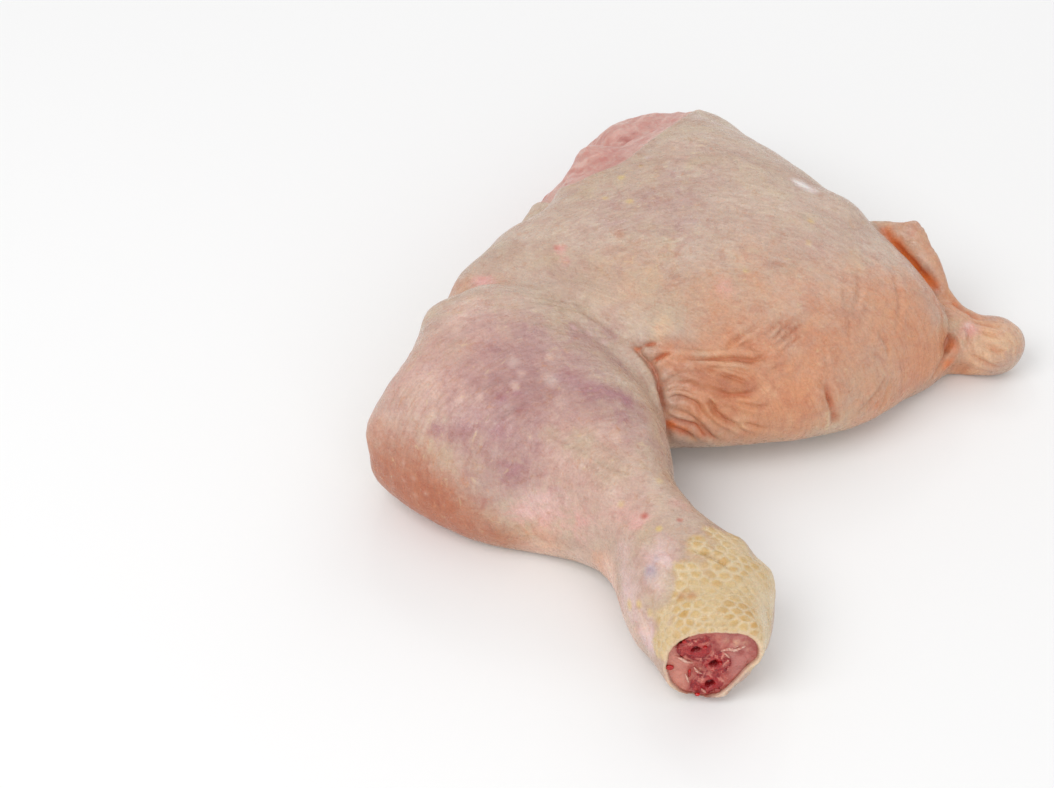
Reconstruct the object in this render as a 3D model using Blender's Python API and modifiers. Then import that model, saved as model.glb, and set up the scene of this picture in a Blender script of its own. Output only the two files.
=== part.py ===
"""Raw chicken leg quarter, drumstick and thigh in one piece, lying on its inner side.

The leg is built from three solids. The skin is a shell that wraps thigh and drumstick and carries
the flap of back skin and the tail. The meat fills it, and bulges out past the skin's edge where
the thigh was cut from the carcass. The leg bone shows at the cut below the hock and runs up
inside the drumstick. Points and sections are given in steps of GRID, with x to the right, y away
from the hock and z up from the table, and are in metres once multiplied by it.
Run it from Blender's text editor, or with blender --background --python part.py.
"""
import math

import bmesh
import bpy
from mathutils import Matrix, Vector
from mathutils.geometry import intersect_point_line

MM = 0.001
GRID = 0.9 * MM    # one step of the grid on which the leg is drawn; it sets the size of the whole
UP = Vector((0.0, 0.0, 1.0))

# Skin, and the clearance between pieces that touch.
SKIN_THICKNESS = 1.9 * MM
FIT_GAP = 0.3 * MM

# Meshing of the soft body.
VOXEL = 2.4 * GRID
SMOOTH_STEPS = 6
RING_POINTS = 28
OUTER_FACES = 3800
POCKET_FACES = 1900
MUSCLE_FACES = 500

# Drumstick: its axis runs over the table from the knee to the hock.
KNEE = Vector((-58.0, 0.0, 0.0)) * GRID
DRUMSTICK_YAW = math.radians(-59.3)
BELLY = 0.36    # height of a section's widest part, as a share of its height
# (distance from the knee, reach to the left, reach to the right, lowest z, highest z)
DRUMSTICK_STATIONS = (
    (-16.0, 2.0, 18.0, 8.0, 34.0),
    (-8.0, 15.5, 25.0, 3.0, 42.0),
    (2.0, 30.5, 28.0, -3.0, 46.5),
    (13.0, 42.0, 30.0, -4.0, 47.5),
    (28.0, 38.0, 31.0, -4.0, 46.0),
    (44.0, 29.0, 30.5, -4.0, 42.0),
    (55.0, 15.5, 27.0, -3.0, 37.0),
    (66.0, 7.5, 20.0, 0.0, 32.5),
    (75.0, 6.0, 19.5, 1.0, 31.0),
    (85.0, 9.5, 21.0, 0.0, 31.5),
    (95.0, 12.5, 25.5, -1.0, 30.5),
    (105.0, 11.0, 24.5, -0.5, 28.0),
    (114.0, 10.0, 18.0, 1.5, 26.0),
    (124.0, 9.0, -1.0, 4.0, 23.0),
)

# Thigh: sections across it, from the knee to the tail side.
# (x, nearest y, farthest y, height, y of the crown)
THIGH_STATIONS = (
    (-72.0, -14.0, 10.0, 28.0, 0.0),
    (-64.0, -22.0, 28.0, 38.0, 6.0),
    (-50.0, -26.0, 53.0, 43.0, 14.0),
    (-34.0, -24.0, 73.5, 45.0, 24.0),
    (-16.0, -23.0, 93.0, 47.0, 34.0),
    (2.0, -23.2, 109.0, 48.0, 42.0),
    (18.0, -22.0, 95.5, 47.0, 42.0),
    (34.0, -18.0, 78.0, 43.0, 36.0),
    (48.0, -10.0, 62.5, 38.0, 30.0),
    (60.0, 2.5, 43.0, 33.0, 24.0),
    (69.0, 10.5, 30.0, 25.0, 20.0),
)

# Rounded lumps: (centre, radii, turn about z in degrees)
TAIL_LUMPS = (
    ((84.5, 21.5, 8.0), (10.5, 8.5, 9.0), 0.0),
    ((75.5, 23.5, 8.0), (11.0, 9.0, 10.0), -20.0),
    ((66.0, 25.0, 6.0), (12.0, 9.0, 9.0), 0.0),
    ((59.0, 35.0, 3.0), (18.0, 7.0, 9.0), -55.0),
)
MUSCLE_LUMPS = (
    ((-9.5, 81.0, 18.0), (22.0, 27.0, 18.0), 12.0),
    ((-2.0, 87.0, 19.0), (20.0, 23.0, 15.0), 0.0),
    ((-24.0, 66.0, 16.0), (15.0, 21.0, 14.0), 6.0),
)

# Flap of back skin that stands behind the thigh: (foot x, foot y, edge x, edge y, edge z)
FLAP_STATIONS = (
    (42.0, 48.0, 45.0, 54.0, 18.0),
    (49.0, 46.0, 53.0, 53.5, 29.0),
    (57.0, 41.0, 63.5, 47.5, 31.0),
    (63.0, 36.0, 68.5, 40.5, 26.0),
    (69.0, 29.0, 72.5, 33.0, 19.5),
    (75.0, 24.0, 79.0, 27.0, 13.0),
)
FLAP_THICKNESS = 5.0

# Crease between drumstick and thigh, from the knee round to the crook of the leg: points on it
CREASE = (
    (-68.0, 6.0, 36.0), (-58.0, 12.0, 41.0), (-42.0, 12.0, 44.0), (-31.0, 5.0, 42.5),
    (-23.0, -6.0, 39.0), (-17.0, -12.0, 35.0), (-12.0, -16.0, 31.0), (-9.0, -20.0, 25.0),
    (-7.0, -24.0, 14.0),
)
CREASE_DEPTH = 3.0
CREASE_HALF_WIDTH = 8.5

# Cut below the hock.
CUT_POINT = Vector((0.0, -100.0, 12.0)) * GRID
CUT_NORMAL = Vector((0.0, -1.0, 0.19)).normalized()

# Leg bone: (distance from the knee, aside, centre z, half width, half height)
BONE_STATIONS = (
    (4.0, 2.0, 22.0, 7.0, 7.0),
    (12.0, 2.0, 22.0, 8.5, 8.5),
    (24.0, 2.0, 20.5, 5.5, 5.5),
    (60.0, 3.5, 17.0, 3.8, 3.8),
    (84.0, 3.5, 15.5, 4.6, 5.0),
    (100.0, 0.0, 14.0, 5.6, 6.6),
    (124.0, -3.0, 13.4, 5.6, 7.0),
)
BONE_POINTS = 14
# Marrow holes in the cut end of the bone: (x, z, radius)
MARROW_HOLES = ((-4.6, 17.2, 1.4), (-0.6, 13.0, 1.3), (-2.4, 8.6, 1.3))
MARROW_DEPTH = 2.5


def clear_scene():
    for obj in list(bpy.data.objects):
        bpy.data.objects.remove(obj, do_unlink=True)


def new_collection(name):
    group = bpy.data.collections.new(name)
    bpy.context.scene.collection.children.link(group)
    return group


def object_from_bmesh(name, bm, group):
    mesh = bpy.data.meshes.new(name)
    bm.to_mesh(mesh)
    bm.free()
    obj = bpy.data.objects.new(name, mesh)
    group.objects.link(obj)
    return obj


def loft(name, rings, group):
    """A closed body through rings of points, each end closed by a fan to its middle."""
    bm = bmesh.new()
    rows = [[bm.verts.new(point) for point in ring] for ring in rings]
    count = len(rows[0])
    for near, far in zip(rows, rows[1:]):
        for i in range(count):
            j = (i + 1) % count
            bm.faces.new((near[i], near[j], far[j], far[i]))
    for row in (rows[0], rows[-1]):
        middle = sum((vert.co for vert in row), Vector()) / count
        tip = bm.verts.new(middle)
        for i in range(count):
            bm.faces.new((row[i], row[(i + 1) % count], tip))
    bmesh.ops.recalc_face_normals(bm, faces=bm.faces)
    return object_from_bmesh(name, bm, group)


def fuller(value, power=0.85):
    """A sine or cosine made to bulge towards a rounded square."""
    return math.copysign(abs(value) ** power, value)


def angles(count):
    return [2 * math.pi * i / count for i in range(count)]


def drumstick_axis():
    """The drumstick's direction from knee to hock, and the direction to its right."""
    ahead = Vector((math.cos(DRUMSTICK_YAW), math.sin(DRUMSTICK_YAW), 0.0))
    return ahead, Vector((-ahead.y, ahead.x, 0.0))


def limb_ring(station):
    """A section of the drumstick, square to its axis and widest below its middle."""
    along, left, right, low, high = (value * GRID for value in station)
    ahead, aside = drumstick_axis()
    centre = KNEE + ahead * along + aside * ((right - left) / 2)
    belly = low + (high - low) * BELLY
    ring = []
    for angle in angles(RING_POINTS):
        reach = fuller(math.cos(angle)) * (left + right) / 2
        rise = fuller(math.sin(angle))
        z = belly + (high - belly if rise > 0 else belly - low) * rise
        ring.append(centre + aside * reach + UP * z)
    return ring


def thigh_ring(station):
    """A section of the thigh: a crowned top over a flat bottom, its crown nearer one side."""
    x, near, far, height, crown = (value * GRID for value in station)
    ring = []
    for angle in angles(RING_POINTS):
        reach = far - crown if math.cos(angle) > 0 else crown - near
        y = crown + reach * fuller(math.cos(angle), 0.9)
        rise = math.sin(angle)
        z = height * 0.3 + (height * 0.7 * rise ** 0.9 if rise > 0 else height * 0.4 * rise)
        ring.append(Vector((x, y, z)))
    return ring


def bone_ring(station):
    along, sideways, middle, half_width, half_height = (value * GRID for value in station)
    ahead, aside = drumstick_axis()
    centre = KNEE + ahead * along + aside * sideways + UP * middle
    return [centre + aside * (half_width * math.cos(angle)) + UP * (half_height * math.sin(angle))
            for angle in angles(BONE_POINTS)]


def flap_ring(station):
    """A section of the flap: a leaning wall with a rounded edge."""
    foot = Vector((station[0], station[1], -3.0))
    edge = Vector((station[2], station[3], station[4]))
    rise = edge - foot
    outward = Vector((0.75, 0.66, 0.0))
    across = outward - rise * (outward.dot(rise) / rise.length_squared)
    across = across.normalized() * (FLAP_THICKNESS / 2)
    shares = ((0.0, 1.3), (0.35, 1.2), (0.7, 1.0), (0.9, 0.85), (1.0, 0.4))
    inner = [foot + rise * share - across * width for share, width in shares]
    outer = [foot + rise * share + across * width for share, width in reversed(shares)]
    return [point * GRID for point in inner + outer]


def lump(shape, group):
    centre, radii, turn = shape
    bm = bmesh.new()
    place = Matrix.Translation(Vector(centre) * GRID) @ Matrix.Rotation(math.radians(turn), 4, "Z")
    scale = Matrix.Diagonal((*(radius * GRID for radius in radii), 1.0))
    bmesh.ops.create_uvsphere(bm, u_segments=32, v_segments=20, radius=1.0, matrix=place @ scale)
    return object_from_bmesh("lump", bm, group)


def settled(name, obj, group):
    """A new object with the result of another's modifiers; the other is removed."""
    graph = bpy.context.evaluated_depsgraph_get()
    mesh = bpy.data.meshes.new_from_object(obj.evaluated_get(graph))
    bpy.data.objects.remove(obj, do_unlink=True)
    mesh.name = name
    result = bpy.data.objects.new(name, mesh)
    group.objects.link(result)
    return result


def remeshed(obj, group):
    remesh = obj.modifiers.new("remesh", "REMESH")
    remesh.mode = "VOXEL"
    remesh.voxel_size = VOXEL
    return settled(obj.name, obj, group)


def softened(obj, steps, group):
    smooth = obj.modifiers.new("smooth", "SMOOTH")
    smooth.factor = 0.5
    smooth.iterations = steps
    return settled(obj.name, obj, group)


def merge_soft(name, pieces, group):
    """The pieces as one soft body: joined, voxel remeshed and smoothed."""
    bm = bmesh.new()
    for piece in pieces:
        bm.from_mesh(piece.data)
        bpy.data.objects.remove(piece)
    return softened(remeshed(object_from_bmesh(name, bm, group), group), SMOOTH_STEPS, group)


def distance_to_path(point, path):
    """Distance from a point to the nearest straight piece of a path."""
    best = None
    for a, b in zip(path, path[1:]):
        nearest, share = intersect_point_line(point, a, b)
        nearest = a if share < 0 else b if share > 1 else nearest
        gap = (point - nearest).length
        best = gap if best is None else min(best, gap)
    return best


def press_crease(obj):
    """Push the surface in along the crease, most at its middle."""
    path = [Vector(point) * GRID for point in CREASE]
    moves = []
    for vert in obj.data.vertices:
        gap = distance_to_path(vert.co, path) / (CREASE_HALF_WIDTH * GRID)
        if gap < 1:
            moves.append((vert, vert.normal * (-CREASE_DEPTH * GRID * (1 - gap * gap) ** 2)))
    for vert, move in moves:
        vert.co += move


def thinned(name, obj, faces, group):
    count = sum(len(polygon.vertices) - 2 for polygon in obj.data.polygons)
    decimate = obj.modifiers.new("decimate", "DECIMATE")
    decimate.ratio = faces / count
    return settled(name, obj, group)


def offset(name, obj, distance, group):
    """A copy with every point moved along its normal."""
    bm = bmesh.new()
    bm.from_mesh(obj.data)
    bm.normal_update()
    moves = [(vert, vert.normal * distance) for vert in bm.verts]
    for vert, move in moves:
        vert.co += move
    return object_from_bmesh(name, bm, group)


def trim(obj, point, normal):
    """Cut away what lies beyond a plane and close the cut."""
    bm = bmesh.new()
    bm.from_mesh(obj.data)
    geometry = bm.verts[:] + bm.edges[:] + bm.faces[:]
    cut = bmesh.ops.bisect_plane(bm, geom=geometry, dist=1e-6, plane_co=point, plane_no=normal,
                                 clear_outer=True)["geom_cut"]
    rim = [item for item in cut if isinstance(item, bmesh.types.BMEdge)]
    bmesh.ops.contextual_create(bm, geom=rim)
    bmesh.ops.triangulate(bm, faces=bm.faces)
    bmesh.ops.recalc_face_normals(bm, faces=bm.faces)
    bm.to_mesh(obj.data)
    bm.free()


def combine(name, base, tool, operation, group):
    """A new object made from two by a Boolean; both are removed."""
    boolean = base.modifiers.new("boolean", "BOOLEAN")
    boolean.operation = operation
    boolean.solver = "EXACT"
    boolean.object = tool
    result = settled(name, base, group)
    bpy.data.objects.remove(tool, do_unlink=True)
    return result


def marrow_hole(hole, group):
    """A cutter that sinks a shallow hole into the cut end of the bone."""
    x, z, radius = (value * GRID for value in hole)
    y = CUT_POINT.y + (z - CUT_POINT.z) * -CUT_NORMAL.z / CUT_NORMAL.y
    mouth = Vector((x, y, z))
    bm = bmesh.new()
    turn = UP.rotation_difference(CUT_NORMAL).to_matrix().to_4x4()
    bmesh.ops.create_cone(bm, cap_ends=True, segments=10, radius1=radius * 0.6,
                          radius2=radius * 1.4, depth=2 * MARROW_DEPTH * GRID,
                          matrix=Matrix.Translation(mouth) @ turn)
    return object_from_bmesh("marrow_hole", bm, group)


def build_body(forms):
    pieces = [
        loft("drumstick", [limb_ring(station) for station in DRUMSTICK_STATIONS], forms),
        loft("thigh", [thigh_ring(station) for station in THIGH_STATIONS], forms),
    ]
    pieces += [lump(shape, forms) for shape in TAIL_LUMPS]
    body = merge_soft("body", pieces, forms)
    press_crease(body)
    return softened(body, 2, forms)


def build_muscle(forms):
    muscle = merge_soft("muscle", [lump(shape, forms) for shape in MUSCLE_LUMPS], forms)
    return thinned("muscle", muscle, MUSCLE_FACES, forms)


def build_skin(body, core, muscle, forms, parts):
    """The shell: the body and its flap, less what it holds."""
    skin = thinned("skin_form", body, OUTER_FACES, forms)
    flap = loft("flap", [flap_ring(station) for station in FLAP_STATIONS], forms)
    skin = combine("skin_form", skin, flap, "UNION", forms)
    trim(skin, Vector(), -UP)
    trim(skin, CUT_POINT, CUT_NORMAL)
    skin = combine("skin_form", skin, core, "DIFFERENCE", forms)
    return combine("skin", skin, offset("muscle_room", muscle, FIT_GAP, forms), "DIFFERENCE", parts)


def build_meat(meat, muscle, bone, forms, parts):
    """What fills the shell, with the muscle that bulges out of it, less room for the bone."""
    trim(muscle, Vector(), -UP)
    meat = combine("meat_form", meat, muscle, "UNION", forms)
    trim(meat, CUT_POINT, CUT_NORMAL)
    return combine("meat", meat, offset("bone_room", bone, FIT_GAP, forms), "DIFFERENCE", parts)


def build_nodes(forms, parts):
    body = build_body(forms)
    core = remeshed(offset("core", body, -SKIN_THICKNESS, forms), forms)
    core = thinned("core", softened(core, 1, forms), POCKET_FACES, forms)
    meat = offset("meat_form", core, -FIT_GAP, forms)
    trim(core, UP * SKIN_THICKNESS, -UP)
    trim(meat, UP * (SKIN_THICKNESS + FIT_GAP), -UP)
    muscle = build_muscle(forms)
    bone = loft("bone_form", [bone_ring(station) for station in BONE_STATIONS], forms)

    skin = build_skin(body, core, muscle, forms, parts)
    meat = build_meat(meat, muscle, bone, forms, parts)
    trim(bone, CUT_POINT, CUT_NORMAL)
    for hole in MARROW_HOLES:
        bone = combine("bone_form", bone, marrow_hole(hole, forms), "DIFFERENCE", forms)
    return [skin, meat, settled("leg_bone", bone, parts)]


def colour(obj, name, rgb, roughness):
    material = bpy.data.materials.new(name)
    material.use_nodes = True
    shader = material.node_tree.nodes["Principled BSDF"]
    shader.inputs["Base Color"].default_value = (*rgb, 1.0)
    shader.inputs["Roughness"].default_value = roughness
    obj.data.materials.clear()
    obj.data.materials.append(material)


def centre_on_origin(nodes):
    """Move all nodes together so that the bottom centre of their box is the origin."""
    points = [vert.co for node in nodes for vert in node.data.vertices]
    low = Vector(min(point[axis] for point in points) for axis in range(3))
    high = Vector(max(point[axis] for point in points) for axis in range(3))
    move = Vector((-(low.x + high.x) / 2, -(low.y + high.y) / 2, -low.z))
    for node in nodes:
        node.data.transform(Matrix.Translation(move))
    print("moved by", [round(value / MM, 2) for value in move],
          "box", [round(value / MM, 1) for value in high - low])


def main():
    clear_scene()
    forms = new_collection("forms")
    parts = new_collection("chicken_leg")
    nodes = build_nodes(forms, parts)
    colour(nodes[0], "raw_skin", (0.80, 0.58, 0.46), 0.45)
    colour(nodes[1], "raw_meat", (0.72, 0.35, 0.32), 0.4)
    colour(nodes[2], "cut_bone", (0.45, 0.08, 0.08), 0.5)
    centre_on_origin(nodes)
    bpy.data.collections.remove(forms)


main()
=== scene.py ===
"""Raw chicken leg quarter: its skin, bare muscle, cut hock and bone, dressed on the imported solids.

The file is an add-on that can be run as a script. It has an operator for each piece and one for the
stage, and a panel in the sidebar that holds their settings. Lengths in the tables are millimetres in
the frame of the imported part: x to the tail, y away from the hock, z up from the table.
"""
import math

import bmesh
import bpy
import numpy as np
from bpy.props import FloatProperty, FloatVectorProperty, IntProperty, PointerProperty
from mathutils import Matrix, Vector
from mathutils.kdtree import KDTree


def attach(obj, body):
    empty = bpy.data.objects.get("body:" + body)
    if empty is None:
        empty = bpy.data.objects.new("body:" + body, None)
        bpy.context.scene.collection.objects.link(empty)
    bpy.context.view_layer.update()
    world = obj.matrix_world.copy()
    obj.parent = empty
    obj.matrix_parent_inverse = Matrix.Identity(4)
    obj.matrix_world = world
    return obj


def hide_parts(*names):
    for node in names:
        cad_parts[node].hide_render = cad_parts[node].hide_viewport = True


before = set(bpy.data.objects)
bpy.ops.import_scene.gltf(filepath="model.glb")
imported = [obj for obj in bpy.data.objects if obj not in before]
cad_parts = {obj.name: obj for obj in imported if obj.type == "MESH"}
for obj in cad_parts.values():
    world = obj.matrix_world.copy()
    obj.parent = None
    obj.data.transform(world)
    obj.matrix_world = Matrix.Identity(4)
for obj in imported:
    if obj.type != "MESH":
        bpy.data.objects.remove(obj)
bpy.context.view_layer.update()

bl_info = {
    "name": "Raw chicken leg",
    "version": (1, 0, 0),
    "blender": (4, 5, 0),
    "location": "View3D > Sidebar > Chicken leg",
    "description": "Dresses the solids of a raw chicken leg with skin, muscle, a cut hock and bone",
    "category": "Add Mesh",
}

MM = 0.001
BODY = "root"
FORM = "leg_form"

# The wrinkles and the follicles end at this y, where the hock's scales begin; the finer mesh of the
# hock reaches further up the leg.
SCALES_FROM = -74
HOCK_FROM = -62

# The cut below the hock: a point on it, the way it faces, and the middle of the hock there.
CUT_POINT = np.array((-3.5, -93.5, 10.8))
CUT_NORMAL = np.array((0.0, -0.9824, 0.1867))
CUT_MIDDLE = np.array((-4.2, -92.5, 11.5))

# The knee, the way along the drumstick from it, and the way across.
KNEE = np.array((-55.7, -3.5, 20.0))
DRUMSTICK_AHEAD = np.array((0.5105, -0.8598, 0.0))
DRUMSTICK_ASIDE = np.array((0.8598, 0.5105, 0.0))
# The crook behind the knee, which the fine lines of the thigh's skin run round.
CROOK = np.array((2, -34, 10))

# Edge of the skin where it was cut off the hip end of the thigh, seen from above.
SKIN_EDGE = (
    (-68, 66), (-52, 61), (-43, 54), (-37, 46.5), (-32.5, 43), (-26, 46), (-18.5, 50), (-14.5, 56.5),
    (-11, 62.5), (-7.5, 67), (-4, 71.5), (-1, 77), (1.5, 85), (4, 98),
)

# Swellings and hollows of the form: (x, y, z, radius, height)
SHAPING = (
    (-38, 53, 23, 20, 3.4), (-6, 84, 26, 16, 1.6), (10, 84, 28, 14, 3.0), (-72, -4, 22, 15, -2.0),
    (-60, 21, 20, 9, 1.4), (-79, -30, 22, 9, 1.2), (9, -73, 18, 8, 1.4), (6, -93, 5, 9, -3.6),
    (0, -94, 2, 7, -1.0), (-5, -58, 15, 11, -1.6), (60, 44, 28, 14, 0.9), (70, 34, 18, 9, 1.0),
    (80, 20, 12, 10, 0.8), (-12, -62, 8, 10, -0.6), (4, -66, 22, 5, 0.8), (7, -70.5, 21, 3.5, -0.7),
    (-30, 46, 36, 10, 0.6), (-54, -2, 36, 12, 0.8), (34, 38, 32, 11, 1.8), (-45, 41, 30, 14, -3.6),
    (-39, 49, 28, 11, -3.6), (-26, 60, 30, 11, 4.2), (-79, -16, 22, 12, -1.5), (-58, 14, 31, 12, 1.0),
    (-65, -4, 34, 8, 2.0), (-73, -17, 30, 12, -2.2), (-28, 65, 32, 9, 1.2), (-22, 76, 29, 9, 1.6),
    (62, 33, 21, 8, 1.8), (67, 27, 17, 8, 1.6), (74, 24, 13, 8, 1.2), (50, 38.5, 24, 4.5, 1.3),
    (53.5, 35.5, 22.5, 4.5, 1.7), (56.5, 32.5, 21, 4.5, 1.5), (57, 39, 26.5, 8, 1.5),
    (64, 10, 4, 5, -1.4), (61, 10, 13, 3.5, -1.4),
)

# Folds pressed into the skin: (half width, depth, raised shoulder, painted shade in the crease, points)
CROOK_FOLDS = (
    (1.2, 2.6, 0.1, 0.7, (
        (-20.2, -10.4, 31.6), (-18.3, -12.3, 30.8), (-16.2, -13.8, 29.3), (-14.6, -15.2, 28.1),
        (-13.4, -16.9, 26.5), (-12.7, -18.8, 24.7), (-11.6, -21.3, 21.2), (-10.4, -23.3, 15.3),
        (-9.7, -23.4, 9))),
    (0.9, 1.2, 0.3, 1.0, ((-17.8, -11.8, 29.9), (-16, -11.6, 31.3), (-13.6, -12.1, 32.4))),
    (0.9, 1.2, 0.3, 1.0, ((-15, -14.8, 27.8), (-13.2, -14.4, 29.8), (-10.2, -14, 31.2))),
    (2.6, 1.0, 0.3, 0.25, (
        (-13.9, -11.7, 32.8), (-10, -12.2, 32.9), (-5.8, -12.9, 32.6), (-1.6, -13.4, 32.1),
        (2.5, -13.5, 31.9))),
    (0.9, 1.3, 0.5, 0.6, (
        (-9.5, -14.9, 30.3), (-5.5, -15.4, 30.6), (-2.8, -15.6, 30.6), (2.3, -14.9, 30),
        (5.7, -14.9, 30), (8.4, -15, 29.6), (11, -14.3, 29.8), (12.6, -13.1, 30.1))),
    (0.9, 1.0, 0.4, 0.4, ((2.4, -13, 31.6), (5, -11.2, 32.6), (6.9, -9.8, 33), (10.8, -7.3, 34))),
    (1.2, 0.8, 0.3, 0.4, ((4.8, -13, 31.8), (7.9, -12.2, 32.3), (10.2, -13, 31.5), (11.8, -13.2, 30))),
    (0.9, 1.3, 0.4, 0.7, (
        (-12.6, -18.7, 24.5), (-10.8, -17.7, 25.8), (-9, -17, 26.8), (-6.7, -16.9, 27.4),
        (-4.3, -16.8, 27.4), (-1.8, -17.5, 27.2))),
    (0.8, 0.9, 0.3, 0.45, (
        (-2.6, -17, 29.1), (0.5, -17.8, 28.8), (3.1, -18.2, 27.6), (5.5, -18.6, 26.7),
        (8, -18.9, 25.5))),
    (1.1, 0.8, 0.4, 0.7, (
        (-12.4, -18.8, 24.6), (-9.2, -18.4, 25.7), (-6.3, -19.7, 26.1), (-4.2, -20.6, 25.6),
        (-0.7, -21.1, 25.2), (3.1, -20.9, 24), (6.7, -20.3, 23.5), (9.4, -19.3, 23.6),
        (11.8, -18.4, 24.7))),
    (0.7, 0.8, 0.3, 0.5, (
        (-12.2, -20, 23.2), (-9, -19.7, 24.9), (-5.8, -20.4, 24.6), (-3, -21.2, 23.4))),
    (0.8, 0.9, 0.4, 0.5, (
        (-12, -21.3, 22), (-9.2, -20.6, 23), (-5.7, -21, 22.7), (-4.1, -21.9, 21.8),
        (-2.8, -22.9, 19.2))),
    (0.8, 0.9, 0.4, 0.5, (
        (-11.6, -22.2, 20.9), (-8.7, -22.1, 20), (-6.1, -22.6, 19.1), (-3.7, -23.4, 17.9),
        (-2.3, -23.8, 16.1), (-0.9, -23.9, 13))),
    (1.2, 1.4, 0.4, 1.0, (
        (-11, -22.9, 18.9), (-8.6, -23, 17.5), (-6, -23.1, 16.8), (-4.2, -23.7, 16.6),
        (-2.7, -24, 15.2), (-0.7, -23.8, 13.2), (1.4, -23.6, 11.5))),
    (0.8, 1.1, 0.5, 0.5, (
        (-3, -20.6, 24.2), (-1, -21.5, 22.3), (0.2, -22.6, 20.3), (2.6, -23, 18.1), (5.1, -23, 16.4),
        (7.6, -23, 14))),
    (0.7, 0.6, 0.3, 0.5, (
        (5.4, -23.1, 16.9), (8.2, -23, 16.4), (10.4, -22.8, 15.6), (13.6, -22.2, 14.3))),
    (1.4, 1.0, 0.3, 0.9, ((-10.4, -23.1, 15.9), (-7.3, -23.1, 14.1), (-4.4, -23.2, 11.9))),
    (0.7, 0.6, 0.3, 0.3, (
        (4.2, -21.5, 23.1), (7.2, -21.8, 21.7), (10.1, -21.7, 20.8), (13.8, -20.9, 20.6))),
    (0.8, 0.5, 0.3, 0.2, ((12.6, -16.7, 27.1), (15.5, -15.4, 28), (19, -14.4, 28.2))),
    (0.7, 0.6, 0.3, 0.5, ((-2, -18.3, 26.8), (1.8, -18.8, 25.7), (5.6, -19.2, 24.5))),
    (0.6, 0.4, 0.2, 0.2, (
        (-8, -16.6, 29.3), (-3, -16.7, 29.6), (2, -17, 29), (6, -17.2, 28.2), (9, -17.6, 27))),
)
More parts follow.
